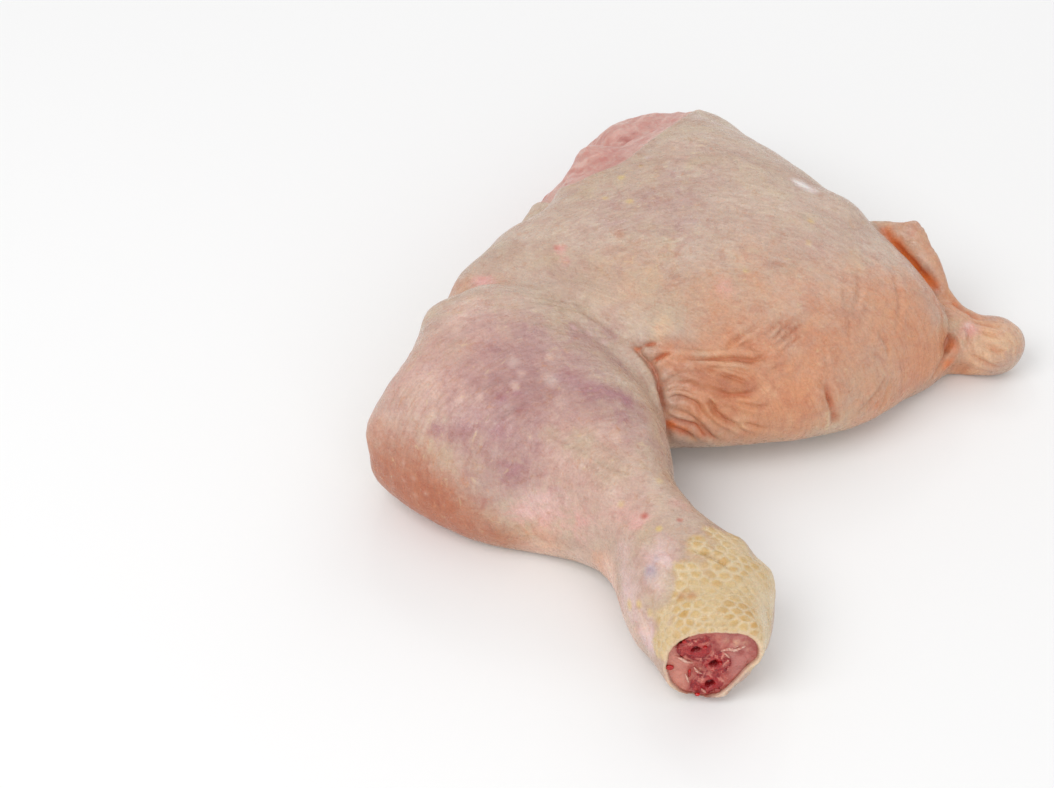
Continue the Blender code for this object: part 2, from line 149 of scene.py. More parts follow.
SKIN_FOLDS = (
    (0.6, 0.40, 0.3, 0.30, (
        (33, 10.7, 35.1), (32.1, 5.9, 34.4), (32, 1.6, 33), (32.7, -3.5, 30.2), (32.2, -9.1, 26.5))),
    (0.6, 0.35, 0.3, 0.25, (
        (25.7, -5.7, 32), (26.3, -8.3, 30.2), (26.5, -11, 28.1), (27.4, -14.8, 23.9))),
    (0.7, 0.60, 0.4, 0.35, ((42.2, -8, 18.2), (38.5, -12.3, 14.6), (34.9, -14.6, 12.2))),
    (0.6, 0.35, 0.3, 0.20, (
        (37.6, -0.5, 29.8), (40, -2.2, 27.5), (42.1, -3.6, 24.2), (43, -7.1, 18.7))),
    (0.6, 0.30, 0.3, 0.20, ((12, 12.8, 40.6), (14.7, 9.5, 39.5), (19, 8.5, 38.5), (23.1, 11.2, 38.2))),
    (0.6, 0.30, 0.3, 0.20, ((-2.7, 8.1, 40.6), (1.1, 5.9, 40), (5.6, 5.7, 39.5), (9.8, 7.2, 39.5))),
    (0.7, 0.30, 0.3, 0.0, (
        (-10.3, 53.2, 40.7), (-2.5, 57.1, 41), (4.8, 52.5, 41.2), (10.5, 44.1, 41.8))),
    (0.7, 0.25, 0.3, 0.0, (
        (-15.6, 46.2, 41.2), (-8.5, 48.5, 41.7), (-0.7, 44.4, 42.5), (6.2, 36.3, 42.4))),
    (0.7, 0.35, 0.3, 0.15, (
        (-28.9, 10.5, 40.9), (-21.7, 12, 41.2), (-14.6, 9.2, 40.9), (-9.5, 5.1, 40))),
    (0.8, 0.35, 0.4, 0.0, (
        (-57.1, -18.9, 42.3), (-50.2, -16, 42.3), (-42.1, -14.4, 40.9), (-35.2, -15.6, 38.9))),
    (0.8, 0.35, 0.4, 0.0, (
        (-63.6, -39.5, 33.1), (-56.8, -36.2, 37.8), (-48.9, -33.2, 39.7), (-41, -31.4, 39.5))),
    (0.8, 0.35, 0.4, 0.0, (
        (-54.5, -44.9, 32.1), (-48.9, -41.2, 36.3), (-42.2, -38, 37.9), (-36.5, -36.2, 37.8))),
    (0.6, 0.55, 0.3, 0.55, ((13.7, -10.4, 32), (16.9, -7.3, 33.3), (20.9, -3.8, 34.3))),
    (0.6, 0.55, 0.3, 0.55, ((14.6, -11.5, 31), (17.9, -8.5, 32.2), (21.6, -5.6, 33.4))),
    (0.6, 0.45, 0.3, 0.45, ((12.4, -9.4, 32.6), (15.3, -6.8, 33.9), (18.3, -3.9, 34.8))),
    (0.6, 0.45, 0.3, 0.50, ((15.9, -12.5, 30.3), (19, -10.1, 31.4), (22.3, -7, 32.1))),
    (1.4, 2.2, 0.4, 1.0, (
        (26.9, -15.6, 23), (27.8, -16.8, 20), (28.5, -16.9, 17.6), (29.2, -16.9, 14.5),
        (30, -17.8, 11.5))),
    (0.9, 0.5, 0.4, 0.2, ((43.5, -7, 17), (42.5, -9, 13), (41, -11, 9))),
    (1.0, 0.50, 0.3, 0.3, ((36.5, 12, 34.5), (36, 6, 33), (34.5, 0, 32.3), (33, -5, 29.8))),
    (0.9, 0.50, 0.3, 0.3, ((41, 9, 32.5), (40.5, 3, 31), (39, -2, 28.8), (37, -6, 26.5))),
    (0.9, 0.45, 0.3, 0.2, ((45, 16, 31.3), (46.3, 10, 30), (46, 4, 27.5), (44.5, -1, 24.5))),
    (2.4, 0.7, 0.5, 0.0, ((-42, -4, 40), (-33, -1, 36), (-26, -6, 34), (-20, -10.5, 32))),
    (1.0, 0.4, 0.3, 0.0, (
        (-44, -6, 40.3), (-38, -5, 38.5), (-31, -4.6, 35.8), (-26, -6, 33.8), (-22, -9.5, 32))),
    (2.4, 0.5, 0.3, 0.0, ((-39, 12, 39), (-33, 7, 38), (-25, 2, 38), (-19, -2, 38))),
    (0.9, 0.65, 0.3, 0.1, (
        (-39.5, -44.9, 34.2), (-32.1, -47.6, 31.5), (-25.4, -51.3, 29.4), (-18.1, -52.6, 28.3))),
    (0.9, 0.60, 0.3, 0.1, ((-37, -40, 36), (-30, -44, 34), (-24, -48, 31.5), (-17, -50.5, 29))),
    (0.9, 0.60, 0.3, 0.1, ((-36, -47.5, 32.5), (-30, -50.5, 30), (-24, -54, 27.6))),
    (0.8, 0.50, 0.3, 0.1, ((-31, -42, 35), (-27, -46.5, 32.5), (-21, -49.5, 30))),
    (0.9, 0.5, 0.3, 0.15, (
        (-40.5, 15.6, 39.5), (-36, 13.7, 39.9), (-32.4, 11, 40.1), (-28.9, 8.4, 40.4), (-25.5, 5, 39.8),
        (-22, 1.5, 39))),
    (0.8, 0.4, 0.3, 0.2, ((-39, 12.6, 39.4), (-35, 11, 40), (-31, 7.8, 40.2), (-28, 4.6, 39.4))),
    (0.7, 0.4, 0.3, 0.3, ((-41, 18.5, 39), (-37.4, 16.6, 39.6), (-34, 13.8, 40.2))),
    (1.0, 0.4, 0.2, 0.0, ((-13, -69.5, 28), (-8, -69.5, 28), (-4, -67.5, 27.5))),
    (0.8, 0.4, 0.2, 0.0, ((-12, -71.5, 27.5), (-7, -71.3, 27.5), (-3, -69.5, 27))),
    (0.8, 1.0, 0.3, 1.0, ((-8, -74.2, 26.9), (-5, -75.2, 26.6), (-2.2, -76.4, 25.6), (0, -78, 25))),
    (1.3, 1.9, 0.1, 0.7, (
        (60.8, 19.5, 17.5), (60.9, 16.2, 15.8), (60.9, 12.8, 13.6), (60.2, 10.3, 10.8),
        (58.6, 7.4, 8.6), (57, 5.2, 6.2), (55, 3.4, 4))),
    (1.3, 0.4, 0.0, 0.8, (
        (43.5, 44, 26), (46, 41, 25), (50.1, 36.4, 23), (54.4, 31.6, 20.5), (58.2, 27.6, 17.6),
        (60.5, 24.5, 16.5))),
    (1.1, 1.2, 0.4, 0.9, (
        (61.8, 24.6, 15.4), (63.4, 22.9, 14.9), (65.5, 20.6, 14.6), (67.8, 18.4, 14.6),
        (70, 17.4, 14.4))),
    (1.0, 0.8, 0.4, 0.5, ((66, 17, 15), (70, 15.5, 14.5), (74, 15, 13.5))),
    (0.9, 0.8, 0.3, 0.4, ((66.5, 14.5, 14.3), (71, 13, 13.5), (75, 12.5, 12))),
    (0.9, 0.7, 0.4, 0.3, ((65, 15.6, 14.8), (65.8, 13.2, 13.8), (65.2, 11.2, 11.6))),
    (1.0, 0.8, 0.4, 0.45, ((69, 11, 12.2), (73, 10.2, 10.5), (77, 11, 9))),
    (0.9, 0.7, 0.4, 0.4, ((66, 10.4, 9.5), (70, 9.3, 7.5), (74, 9.2, 5.5))),
)

# Soft round patches of colour: (x, y, z, radius, strength)
TINTS = {
    "blush": (
        (-54, -28, 38, 36, 0.75), (-32, -46, 30, 26, 0.6), (-76, -26, 24, 22, 0.5),
        (-20, -62, 24, 14, 0.4),
    ),
    # Peach: the orange of fat under the skin, and painted shade that darkens and warms the lower slopes of
    # the thigh and the crook.
    "peach_fat_and_painted_shade": (
        (61.5, 22, 16, 8, 0.7), (60, 9, 6, 7, 0.6), (66, 12, 3, 9, 0.7), (58.5, 10, 15, 6, 0.6),
        (56.5, 16, 23, 6, 0.4), (8, -20, 24, 9, 0.5), (10, -16, 29, 7, 0.35), (57.5, 15, 21, 6, 0.5),
        (56, 21, 25, 6, 0.4), (0, -3, 37, 14, 0.35), (0, -20, 22, 20, 0.85), (16, -19, 20, 22, 0.9),
        (42, -9, 12, 20, 0.6), (55, 2, 13, 17, 0.85), (30, -8, 28, 18, 0.5), (47, 4, 24, 18, 0.6),
        (54, 40, 24, 16, 0.55), (62, 32, 18, 14, 0.6), (70, 16, 12, 18, 0.6), (-11, -14, 30, 8, 0.6),
        (4, -13, 31, 14, 0.55), (40, 8, 31, 16, 0.4), (20, 0, 36, 46, 0.38), (52, 16, 27, 12, 0.4),
        (-20, 6, 38, 22, 0.3), (-25, -66, 9, 12, 0.8), (-42, -55, 8, 14, 0.5), (-78, -30, 20, 12, 0.5),
        (-60, 9, 30, 10, 0.4), (-52, 4, 36, 12, 0.3),
    ),
    "cream": (
        (69, 10, 4, 7, 0.5), (43, -7, 19, 9, 0.3), (32, -13, 22, 8, 0.25), (73, 11, 12.4, 8, 0.45),
        (76, 13, 12, 7, 0.4), (69.5, 10.5, 11, 6, 0.4), (6, -23, 17, 5, 0.5), (13, -20, 24, 6, 0.4),
        (-1, -14, 31.5, 5, 0.4), (3, -16.5, 29.5, 5, 0.5), (-5, -23.5, 12, 4, 0.4),
        (16, -21, 14, 8, 0.35), (-12, -9, 35, 6, 0.35), (68, 13, 12, 10, 0.4), (76, 18, 8, 9, 0.4),
        (60, 38, 24, 6, 0.4), (44, 2, 30, 10, 0.25),
    ),
    "mauve": (
        (-27.4, -35.7, 35.9, 7, 0.35), (-29.1, -6.8, 35.1, 7, 0.25), (-30, -24, 38, 8, 0.35),
        (-36, 8, 38, 8, 0.25), (-14, 28, 42, 20, 0.28), (-24, 28, 41, 16, 0.22), (-6, 34, 42, 18, 0.22),
        (24, 17, 39.5, 15, 0.28), (0, 46, 42, 22, 0.18), (-6, 18, 42, 22, 0.2),
        (-46.7, -20, 41.8, 13, 0.35), (-38.7, -19, 40.3, 13, 0.4), (-30, -17, 36.5, 12, 0.45),
        (-22, -20, 32, 9, 0.4), (-43, -30, 40, 15, 0.5), (-50, -33, 40.6, 14, 0.5),
        (-45.5, -40, 37, 14, 0.5), (-36.5, -36, 37.5, 11, 0.4), (-28, -34, 36.4, 12, 0.6),
        (-20, -35, 33, 10, 0.6), (-20, -42, 31, 8, 0.35), (-52, -44, 32, 13, 0.5),
        (-46, -49, 28, 11, 0.5), (-54, -49.5, 22, 10, 0.4), (-60, -42, 32, 9, 0.4),
        (-14, -42, 26, 8, 0.35), (-60, -30, 40, 12, 0.1), (-52, -30, 36, 36, 0.38),
        (-34, -52, 26, 20, 0.2),
    ),
    "wine": (
        (-49.6, -37.3, 38.2, 4.5, 0.55), (-46, -37.3, 38.2, 4, 0.5), (-44.4, -40.7, 36.8, 4, 0.4),
        (-35, -30.5, 38.5, 5, 0.5), (-29.5, -33.3, 37, 4.5, 0.6), (-25.6, -32.8, 35.6, 4.5, 0.75),
        (-21.8, -33, 33.6, 4.5, 0.75), (-22.5, -38, 33.4, 4, 0.65), (-50, -44, 34.3, 5, 0.55),
        (-47.5, -49, 27, 5.5, 0.5), (-49.6, -50.6, 22.3, 5, 0.45), (-64, -40.5, 31.5, 4.5, 0.55),
        (-58, -42, 33, 4.5, 0.4), (-54.8, -50.7, 17.3, 4, 0.4), (-24, -9, 34, 5, 0.4),
        (-38, -6, 39, 5, 0.3),
    ),
    "pink": (
        (-55, 8, 34.5, 4.5, 0.7), (-53.5, 5.5, 36, 4, 0.5), (3, 1, 38.5, 6.5, 0.3),
        (-36, 14, 39.8, 3.2, 0.8), (-35, 10, 39, 3, 0.5), (66, 14, 14, 5, 0.7), (-22, -75, 12, 8, 0.3),
        (-19, -84, 12, 6, 0.4), (-23, -60, 24, 6, 0.4), (-19, -65, 26, 5, 0.5), (-39, -53, 17, 12, 0.4),
        (-47, -52, 15, 8, 0.3), (-31, -56, 17, 11, 0.4), (-10, -60, 27, 6, 0.4),
    ),
    # Brown: painted shadow low on the drumstick's outer side, painted shade in the crook and under the
    # thigh's edge at the tail, and a few brown marks.
    "brown_and_painted_shadow": (
        (-8, -13, 32, 8, 0.2), (10, -17, 28, 9, 0.25), (61.2, 12.5, 11.5, 5, 0.5),
        (60.6, 9.5, 7.5, 4.5, 0.5), (-74, -40, 14, 22, 0.7), (-66, -46, 12, 20, 0.65),
        (-76, -36, 10, 16, 0.5), (-68, -43, 4, 16, 0.6), (-70, -40, 14, 32, 0.3),
        (-58, -50, 8, 17, 0.6), (-50, -53, 5, 13, 0.5), (-21.7, 18, 41.6, 3.5, 0.5),
        (29.3, -17, 13, 3, 0.5), (-4, -18.5, 28, 5, 0.4), (2, -19.3, 26.5, 5, 0.5),
        (-8, -17.8, 28.5, 4, 0.4), (8, -19.5, 24.5, 4, 0.5), (0, -19.4, 26, 9, 0.35),
        (18, -7.5, 33, 7, 0.35),
    ),
    # Lilac patches, with small painted highlights on the drumstick near the knee.
    "lilac_and_painted_shine": (
        (-18, -87, 13, 5, 0.4), (-43.3, -52.3, 18.8, 9, 0.3), (-36.5, -53.6, 21.8, 8, 0.3),
        (-29.2, -12.4, 35.3, 2.6, 0.4), (-32.8, -12.5, 37.5, 2.4, 0.35),
        (-25.7, -12.4, 33.1, 2.4, 0.35), (-20, -78, 16, 9, 0.7), (-18, -87, 14, 8, 0.7),
        (-21, -70, 20, 9, 0.5), (-17.5, -75.5, 24.5, 6, 0.6), (-14, -72, 26, 6, 0.5),
        (-13, -77, 26, 5, 0.5), (-16, -81, 23, 5, 0.5), (-13.5, 49.4, 41, 2.5, 0.5),
    ),
    "slate": ((-17, -78.6, 22.8, 4, 0.45), (-17.2, -77.5, 23.8, 2.6, 0.7), (-15.8, -75.3, 25, 2, 0.5)),
    "pale": (
        (-32, -47, 32, 9, 0.6), (-27, -50, 29.5, 8, 0.55), (-25, -52, 28, 7, 0.5),
        (-39, -45, 34, 4, 0.6), (-60, -15, 41, 10, 0.15), (-60, -25, 40, 9, 0.35),
        (-41, -8, 39.7, 6, 0.35), (-20, -58, 22, 8, 0.4), (-24, -69, 12, 8, 0.4),
        (-14, -60, 27, 7, 0.3), (6, -16, 30, 5, 0.4), (-3, -14.6, 31, 4, 0.4), (12, -17, 28, 5, 0.4),
        (8, -90, 10, 6, 0.5), (-10.8, -95, 4.7, 5, 0.4),
    ),
    # Fair: painted light from the floor along the lower edges of the drumstick and the hock, painted light
    # on the thigh's rim by the flap, and some fairer skin.
    "fair_and_painted_light": (
        (-18.2, -86, 14.5, 4, 0.6), (-17.4, -79.4, 22.9, 3.5, 0.3), (-60, -16, 41, 9, 0.15),
        (-60, -12, 41, 9, 0.3), (-5.3, 54, 41.7, 14, 0.25), (-50, -50.6, 22, 6, 0.25),
        (-57.3, -7.1, 41.5, 6, 0.3), (47.2, 26.4, 29.8, 5, 0.35), (49.2, 22.3, 29.2, 5, 0.35),
        (51.4, 18.8, 28, 5, 0.35), (52.7, 14.8, 27.1, 4, 0.2), (-66, -30, 36, 10, 0.3),
        (-25.4, -66.4, 12.5, 8, 0.5), (-18, -40, 31, 5, 0.3), (-46.7, -34.8, 39.3, 2.4, 0.5),
        (-45.3, -31.6, 40, 2.4, 0.4), (-38.9, -25.7, 40, 2.2, 0.4), (-54.6, -36.5, 38.1, 2.6, 0.4),
        (-59, -37, 37, 3, 0.4), (-36, -38, 37.5, 4, 0.35), (-24, -44, 32.5, 4, 0.4),
        (-42, -56, 4, 12, 0.5), (-32, -60, 5, 10, 0.5), (-26, -68, 8, 10, 0.6), (-21, -80, 7, 9, 0.6),
        (-15, -92, 5, 6, 0.5), (-68, 0, 26, 12, 0.3), (-55, -52, 2, 6, 0.3),
    ),
    # White: a painted sheen on the top of the thigh, and whitish tissue at the tail's root.
    "painted_sheen_and_white": (
        (65.6, 15.3, 14.6, 2, 0.4), (64.8, 13.4, 13.6, 1.6, 0.4), (67.5, 14.4, 14.2, 1.6, 0.3),
        (25.5, 42.3, 37.6, 4.4, 0.75), (23.8, 43.6, 37.8, 3.4, 0.6), (27.5, 40.6, 37, 3.5, 0.5),
    ),
    "yellow": (
        (-20.5, 41.2, 41.1, 1.9, 0.8), (-18.7, 30.4, 41.9, 1.9, 0.7), (25.6, 26.2, 39, 1.9, 0.7),
        (24.4, 18, 38.9, 1.8, 0.5), (-24.7, 32.8, 41, 1.6, 0.6), (-15.4, 45.6, 41.3, 1.5, 0.6),
        (4, 72.7, 35.8, 1.8, 0.5), (8.3, 6.2, 39.4, 1.6, 0.6), (-21.5, -79.5, 15.3, 2.6, 0.7),
        (-19.8, -82, 18, 2, 0.7), (-17.6, -85, 18.6, 2, 0.6), (-15.1, -68.1, 27.1, 1.6, 0.8),
        (-23.1, -59, 25.8, 1.8, 0.5), (-14.3, -53, 27.3, 2, 0.5),
    ),
    "red": (
        (-18.2, -63.7, 26.8, 1.8, 0.7), (-10.5, -65.9, 27.8, 1.5, 0.6), (-30.5, 11.3, 40.6, 0.6, 0.9),
        (-36.8, 14.5, 39.8, 1.6, 0.6),
    ),
    # Amber: painted shade, a saturated orange in the gap between the thigh and the flap, at the tail's root
    # and at the ends of the crook's creases.
    "amber_gap_shade": (
        (47.6, 40.2, 24.2, 4, 0.6), (50, 37.8, 23, 4, 0.85), (52.3, 35.2, 21.4, 4.2, 0.95),
        (54.7, 32.5, 19.6, 4.2, 1.0), (56.9, 30.1, 17.8, 4, 0.95), (58.6, 28, 16.9, 3.5, 0.7),
        (63.4, 22.9, 14.9, 1.8, 0.6), (66, 20.2, 14.6, 1.8, 0.6), (62.2, 16, 13, 3, 0.5),
        (62, 12, 10.5, 3.6, 0.6), (60.8, 9, 7, 3.6, 0.6), (-10, -22.7, 16, 3, 0.8),
        (-7, -23, 14.5, 3.5, 0.6), (-18, -11.4, 30, 1.6, 0.5), (-3, -23.6, 14, 3, 0.4),
    ),
}
TINT_COLOURS = {
    "blush": (206, 162, 152), "peach_fat_and_painted_shade": (207, 143, 106), "cream": (224, 184, 148),
    "mauve": (172, 131, 128), "wine": (164, 112, 118), "pink": (222, 168, 160), "brown_and_painted_shadow": (176, 106, 76),
    "lilac_and_painted_shine": (222, 190, 188), "slate": (176, 160, 170), "pale": (192, 166, 144),
    "fair_and_painted_light": (232, 200, 184), "painted_sheen_and_white": (232, 222, 218), "yellow": (216, 186, 124), "red": (188, 98, 84),
    "amber_gap_shade": (232, 124, 54),
}
# How far the patches of each colour are broken up; the others' edges are smooth.
RAGGED = {
    "blush": 0.5, "cream": 0.8, "mauve": 0.8, "peach_fat_and_painted_shade": 0.5, "pink": 0.9, "brown_and_painted_shadow": 0.5, "pale": 0.9,
    "lilac_and_painted_shine": 0.6, "wine": 0.8,
}
RUSTY_SCALES = ((-8.7, -85.4, 24.3, 2.0, 0.8), (-11.0, -85.0, 23.9, 1.8, 0.7))

FOLLICLE_PATCHES = ((-66, -38, 24, 20, 1.0), (-72, -40, 12, 16, 1.0), (-50, -50, 22, 15, 0.8),
                    (-46, -44, 34, 14, 0.6), (-28, -36, 36, 12, 0.5), (-70, -14, 32, 18, 0.7),
                    (46, -4, 22, 14, 0.4))
LUMPY_PATCHES = ((-44, -36, 38, 24, 1.0), (-24, -38, 33, 14, 1.0), (-60, -44, 24, 16, 0.8),
                 (-64, -24, 38, 16, 0.7))
SCALE_ZONE = (
    (2, -70, 25, 8.5, 0.9), (0, -78, 25.5, 10, 1.0), (-2, -87, 23, 12, 1.0), (-8.5, -87.5, 21, 8, 0.95),
    (8, -80, 20, 11, 1.0), (5, -90, 18, 12, 1.0), (-12.5, -91, 15, 6.5, 0.9), (-6, -92, 20, 9, 1.0),
    (10, -72, 18, 9, 0.9), (8, -90, 10, 9, 0.8), (0, -94, 19, 7, 1.0), (-14.5, -87, 19, 5, 0.8),
    (-15.5, -91, 14.5, 4.5, 0.8), (-7, -72.5, 26.5, 5, 0.8), (-3.5, -68, 26, 4.5, 0.8),
    (-10, -79.5, 26, 5.5, 0.85), (-11, -91.5, 21, 4, 0.9), (-9.5, -84, 24.6, 5, 0.8),
    (-12, -92.5, 18.5, 4, 0.9),
)
PLAIN_HORN = (
    (-15.4, -85.1, 21.1, 4, 0.5), (-13.8, -89.3, 20.3, 4, 0.45), (5.4, -78.8, 22.3, 4, 0.6),
    (6.5, -83, 20.4, 4.5, 0.7), (5.8, -88.7, 20, 4, 0.6), (2.5, -71, 24, 4, 0.6),
    (-0.5, -67.6, 24.8, 4, 0.5), (6.6, -70.6, 20, 5, 0.7), (6, -87, 20, 5, 0.8), (7, -92, 15, 7, 0.95),
    (3.5, -93, 12, 5, 0.9), (9.5, -80, 17, 6, 0.8), (10, -72, 16, 8, 0.8), (5, -68, 22, 4, 0.5),
    (10, -88, 9, 8, 1.0), (-14, -92, 13, 4, 0.5), (2, -94, 5, 6, 0.9), (-3, -95, 2, 5, 0.8),
)

# Parts of the form, as brushes (x, y, z, radius, strength): the flap of skin, which stays crisp and free
# of wrinkles, and the crook of the knee and the tail, which are split finer
FLAP_EDGE = ((52, 44, 27, 11, 0.8), (58, 39, 28, 11, 0.8), (64, 32, 20, 9, 0.7))
FLAP_FACE = ((55, 37, 24, 13, 1.0),)
CROOK_AREA = ((-4, -18, 24, 22, 1.0), (8, -14, 30, 13, 1.0))
TAIL_AREA = ((68, 14, 12, 13, 1.0), (54, 35, 24, 10, 1.0))
# Silvery film and spots of blood on the bare muscle
MUSCLE_FILM = ((2, 74, 38, 12, 0.8), (-8, 68, 38, 8, 0.6), (8, 86, 30, 12, 0.6))
MUSCLE_BLOOD = ((-18.6, 71, 31, 3.4, 0.9), (-16, 73.5, 31, 3.0, 0.8), (-12, 77, 31, 3.5, 0.4),
                (-27, 66, 26, 3, 0.3))

# Where the camera looks, in millimetres, with its lens and its sensor's width
CAMERA_TARGET = Vector((-43.96, 6.13, 0))
CAMERA_LENS = 80
CAMERA_SENSOR = 36

# Lamps: (name, place in metres, size in metres, share of the power)
LAMPS = (("key", (-0.45, -0.35, 0.75), 0.6, 3.1), ("front", (0.15, -0.9, 0.45), 0.7, 1.9),
         ("back", (0.35, 0.6, 0.55), 0.6, 1.0), ("glint", (-0.1, 0.65, 0.62), 0.14, 0.32))

# The cut: outline of the skin's opening (x, z), and what shows in it, in the same two directions
OPENING = (
    (-13.8, 10.6), (-13.4, 14.2), (-11.6, 17.5), (-8.2, 19.4), (-4.9, 19.9), (-0.8, 19.8), (2.5, 19.3),
    (4.9, 17.4), (5.7, 14.9), (5.1, 12.2), (3.2, 9.8), (1.2, 6.8), (-0.5, 4.3), (-2.6, 2.7), (-5.0, 2.0),
    (-8.0, 2.4), (-10.8, 4.2), (-12.9, 7.0),
)
# How far the face of the cut is sunk inside the opening, and how far under the plane of the cut the
# flesh, the bone and the drops of blood are set
CUT_DEPTH = 4.6
FLESH_UNDER = 0.7
BONE_UNDER = 0.9
BLOOD_UNDER = 0.6
# The part of the cut that holds the bone's end, and the holes of its marrow: (x, z, radius)
BONE_AREA = (-5.5, 11.5, 7.0)
MARROW_HOLES = ((-7.6, 15.0, 1.1), (-3.9, 10.9, 1.0), (-4.4, 5.4, 1.1))
# Places stained with blood on the bone: (x, z, radius)
BLOOD_STAINS = ((-10.8, 16.3, 1.3), (-5.2, 14.6, 0.9), (-2.2, 9.8, 0.7), (-6.8, 4.6, 0.8), (-8.6, 8.8, 0.9))
# Lobes of spongy bone: (x, z, half width, half height)
BONE_LOBES = (
    (-7.6, 15.2, 4.2, 3.3), (-2.9, 10.9, 2.9, 3.4), (-4.8, 5.4, 3.7, 3.0), (-10.6, 16.6, 2.2, 2.0),
)
# Yellowish fat in the flesh, as brushes: (x, 0, z, radius, strength)
FAT_PATCHES = (
    (-1.2, 0, 17.6, 1.2, 0.6), (0.8, 0, 17.0, 1.4, 0.8), (2.8, 0, 16.6, 1.2, 0.7),
    (3.6, 0, 14.9, 1.1, 0.4), (-8.4, 0, 11.6, 1.0, 0.5), (-6.6, 0, 9.4, 0.9, 0.5),
    (-10.6, 0, 12.4, 0.9, 0.5),
)
# Threads of membrane: (half width, points of (x, z, height over the flesh))
MEMBRANES = (
    (0.34, ((-12.2, 13.2, 0.0), (-11.0, 12.6, 0.2), (-9.6, 11.7, 0.2), (-8.4, 11.3, 0.0))),
    (0.24, ((-9.8, 8.4, 0.1), (-9.3, 7.2, 0.2), (-9.0, 6.0, 0.0))),
    (0.42, ((-2.4, 14.4, 0.0), (-0.8, 15.1, 0.2), (0.8, 14.9, 0.2), (2.8, 15.7, 0.0))),
    (0.30, ((-0.6, 14.8, 0.0), (0.4, 15.6, 0.2), (2.0, 16.4, 0.1))),
    (0.26, ((-1.6, 13.9, 0.0), (-0.9, 13.3, 0.2), (-0.4, 12.6, 0.0))),
    (0.30, ((-8.0, 10.2, 0.0), (-7.2, 9.2, 0.3), (-6.2, 8.5, 0.1))),
    (0.26, ((-6.2, 4.6, 0.3), (-5.6, 4.0, 0.4), (-5.2, 3.4, 0.1))),
)
# Drops of clotted blood: (x, z, half width, half height, height over the flesh)
CLOTS = ((-13.2, 10.2, 0.95, 0.7, 0.1), (-10.3, 17.2, 0.6, 0.4, 0.3), (-8.9, 8.6, 0.35, 1.1, 0.0),
         (-2.4, 11.6, 0.5, 0.35, 0.5), (-7.0, 3.0, 0.6, 0.4, 0.1), (-5.8, 15.9, 0.45, 0.3, 0.5))


# ---------------------------------------------------------------------------------------------
# Small tools


def srgb(red, green, blue):
    """A colour given in 0-255 display values, as the shader's linear values."""
    shares = (value / 255 for value in (red, green, blue))
    return tuple(s / 12.92 if s < 0.04045 else ((s + 0.055) / 1.055) ** 2.4 for s in shares)


def step(low, high, values):
    """0 below low, 1 above high, and a smooth rise between."""
    share = np.clip((values - low) / (high - low), 0.0, 1.0)
    return share * share * (3 - 2 * share)


def noise(points, size, seed=0):
    """Smooth noise between -1 and 1 at each point, with features about size apart."""
    place = points / size + seed * 17.37
    cell = np.floor(place).astype(np.int64)
    share = place - cell
    share = share * share * (3 - 2 * share)
    total = np.zeros(len(points))
    for corner in np.ndindex(2, 2, 2):
        key = cell + corner
        mixed = key[:, 0] * 73856093 ^ key[:, 1] * 19349663 ^ key[:, 2] * 83492791
        mixed = (mixed ^ (mixed >> 13)) * 1274126177 & 0x7FFFFFFF
        value = (mixed ^ (mixed >> 16)) % 65536 / 32767.5 - 1
        weight = np.prod(np.where(corner, share, 1 - share), axis=1)
        total += value * weight
    return total


def smooth_path(points, pieces=6):
    """Points along a smooth curve through the given ones."""
    knots = np.array(points, float)
    knots = np.vstack([2 * knots[0] - knots[1], knots, 2 * knots[-1] - knots[-2]])
    share = np.linspace(0, 1, pieces, endpoint=False)[:, None]
    runs = []
    for a, b, c, d in zip(knots, knots[1:], knots[2:], knots[3:]):
        bend = 2 * a - 5 * b + 4 * c - d
        twist = 3 * b - a - 3 * c + d
        runs.append(0.5 * (2 * b + (c - a) * share + bend * share ** 2 + twist * share ** 3))
    return np.vstack(runs + [knots[-2][None]])


def follow(points, path):
    """For each point: its distance to a path, and the share of the way along."""
    gap = np.full(len(points), np.inf)
    share = np.zeros(len(points))
    lengths = np.linalg.norm(np.diff(path, axis=0), axis=1)
    done = np.concatenate([[0], np.cumsum(lengths)])
    for index, (a, b) in enumerate(zip(path, path[1:])):
        way = (b - a) / lengths[index]
        run = np.clip((points - a) @ way, 0, lengths[index])
        near = np.linalg.norm(points - a - run[:, None] * way, axis=1)
        closer = near < gap
        gap[closer] = near[closer]
        share[closer] = (done[index] + run[closer]) / done[-1]
    return gap, share


def dabs(points, brushes):
    """A mask from soft round brushes: (x, y, z, radius, strength)."""
    left = np.ones(len(points))
    for x, y, z, radius, strength in brushes:
        gap = np.linalg.norm(points - (x, y, z), axis=1) / radius
        left *= 1 - strength * (1 - step(0.0, 1.0, gap))
    return 1 - left


def tree_of(points):
    """A search tree of the points."""
    tree = KDTree(len(points))
    for index, point in enumerate(points):
        tree.insert(Vector(point), index)
    tree.balance()
    return tree


def select_only(obj):
    """Leave edit mode, and select this object alone."""
    if bpy.context.object and bpy.context.object.mode != "OBJECT":
        bpy.ops.object.mode_set(mode="OBJECT")
    bpy.ops.object.select_all(action="DESELECT")
    obj.select_set(True)
    bpy.context.view_layer.objects.active = obj


def apply_modifier(obj, kind, **settings):
    """Add a modifier with these settings, and apply it."""
    modifier = obj.modifiers.new(kind.lower(), kind)
    for name, value in settings.items():
        setattr(modifier, name, value)
    select_only(obj)
    bpy.ops.object.modifier_apply(modifier=modifier.name)


def join_up(objects, name):
    """Join new objects into one, with its place in its mesh."""
    select_only(objects[0])
    for obj in objects[1:]:
        obj.select_set(True)
    if len(objects) > 1:
        bpy.ops.object.join()
    bpy.ops.object.transform_apply(location=True, rotation=True, scale=True)
    joined = bpy.context.object
    joined.name = joined.data.name = name
    return joined


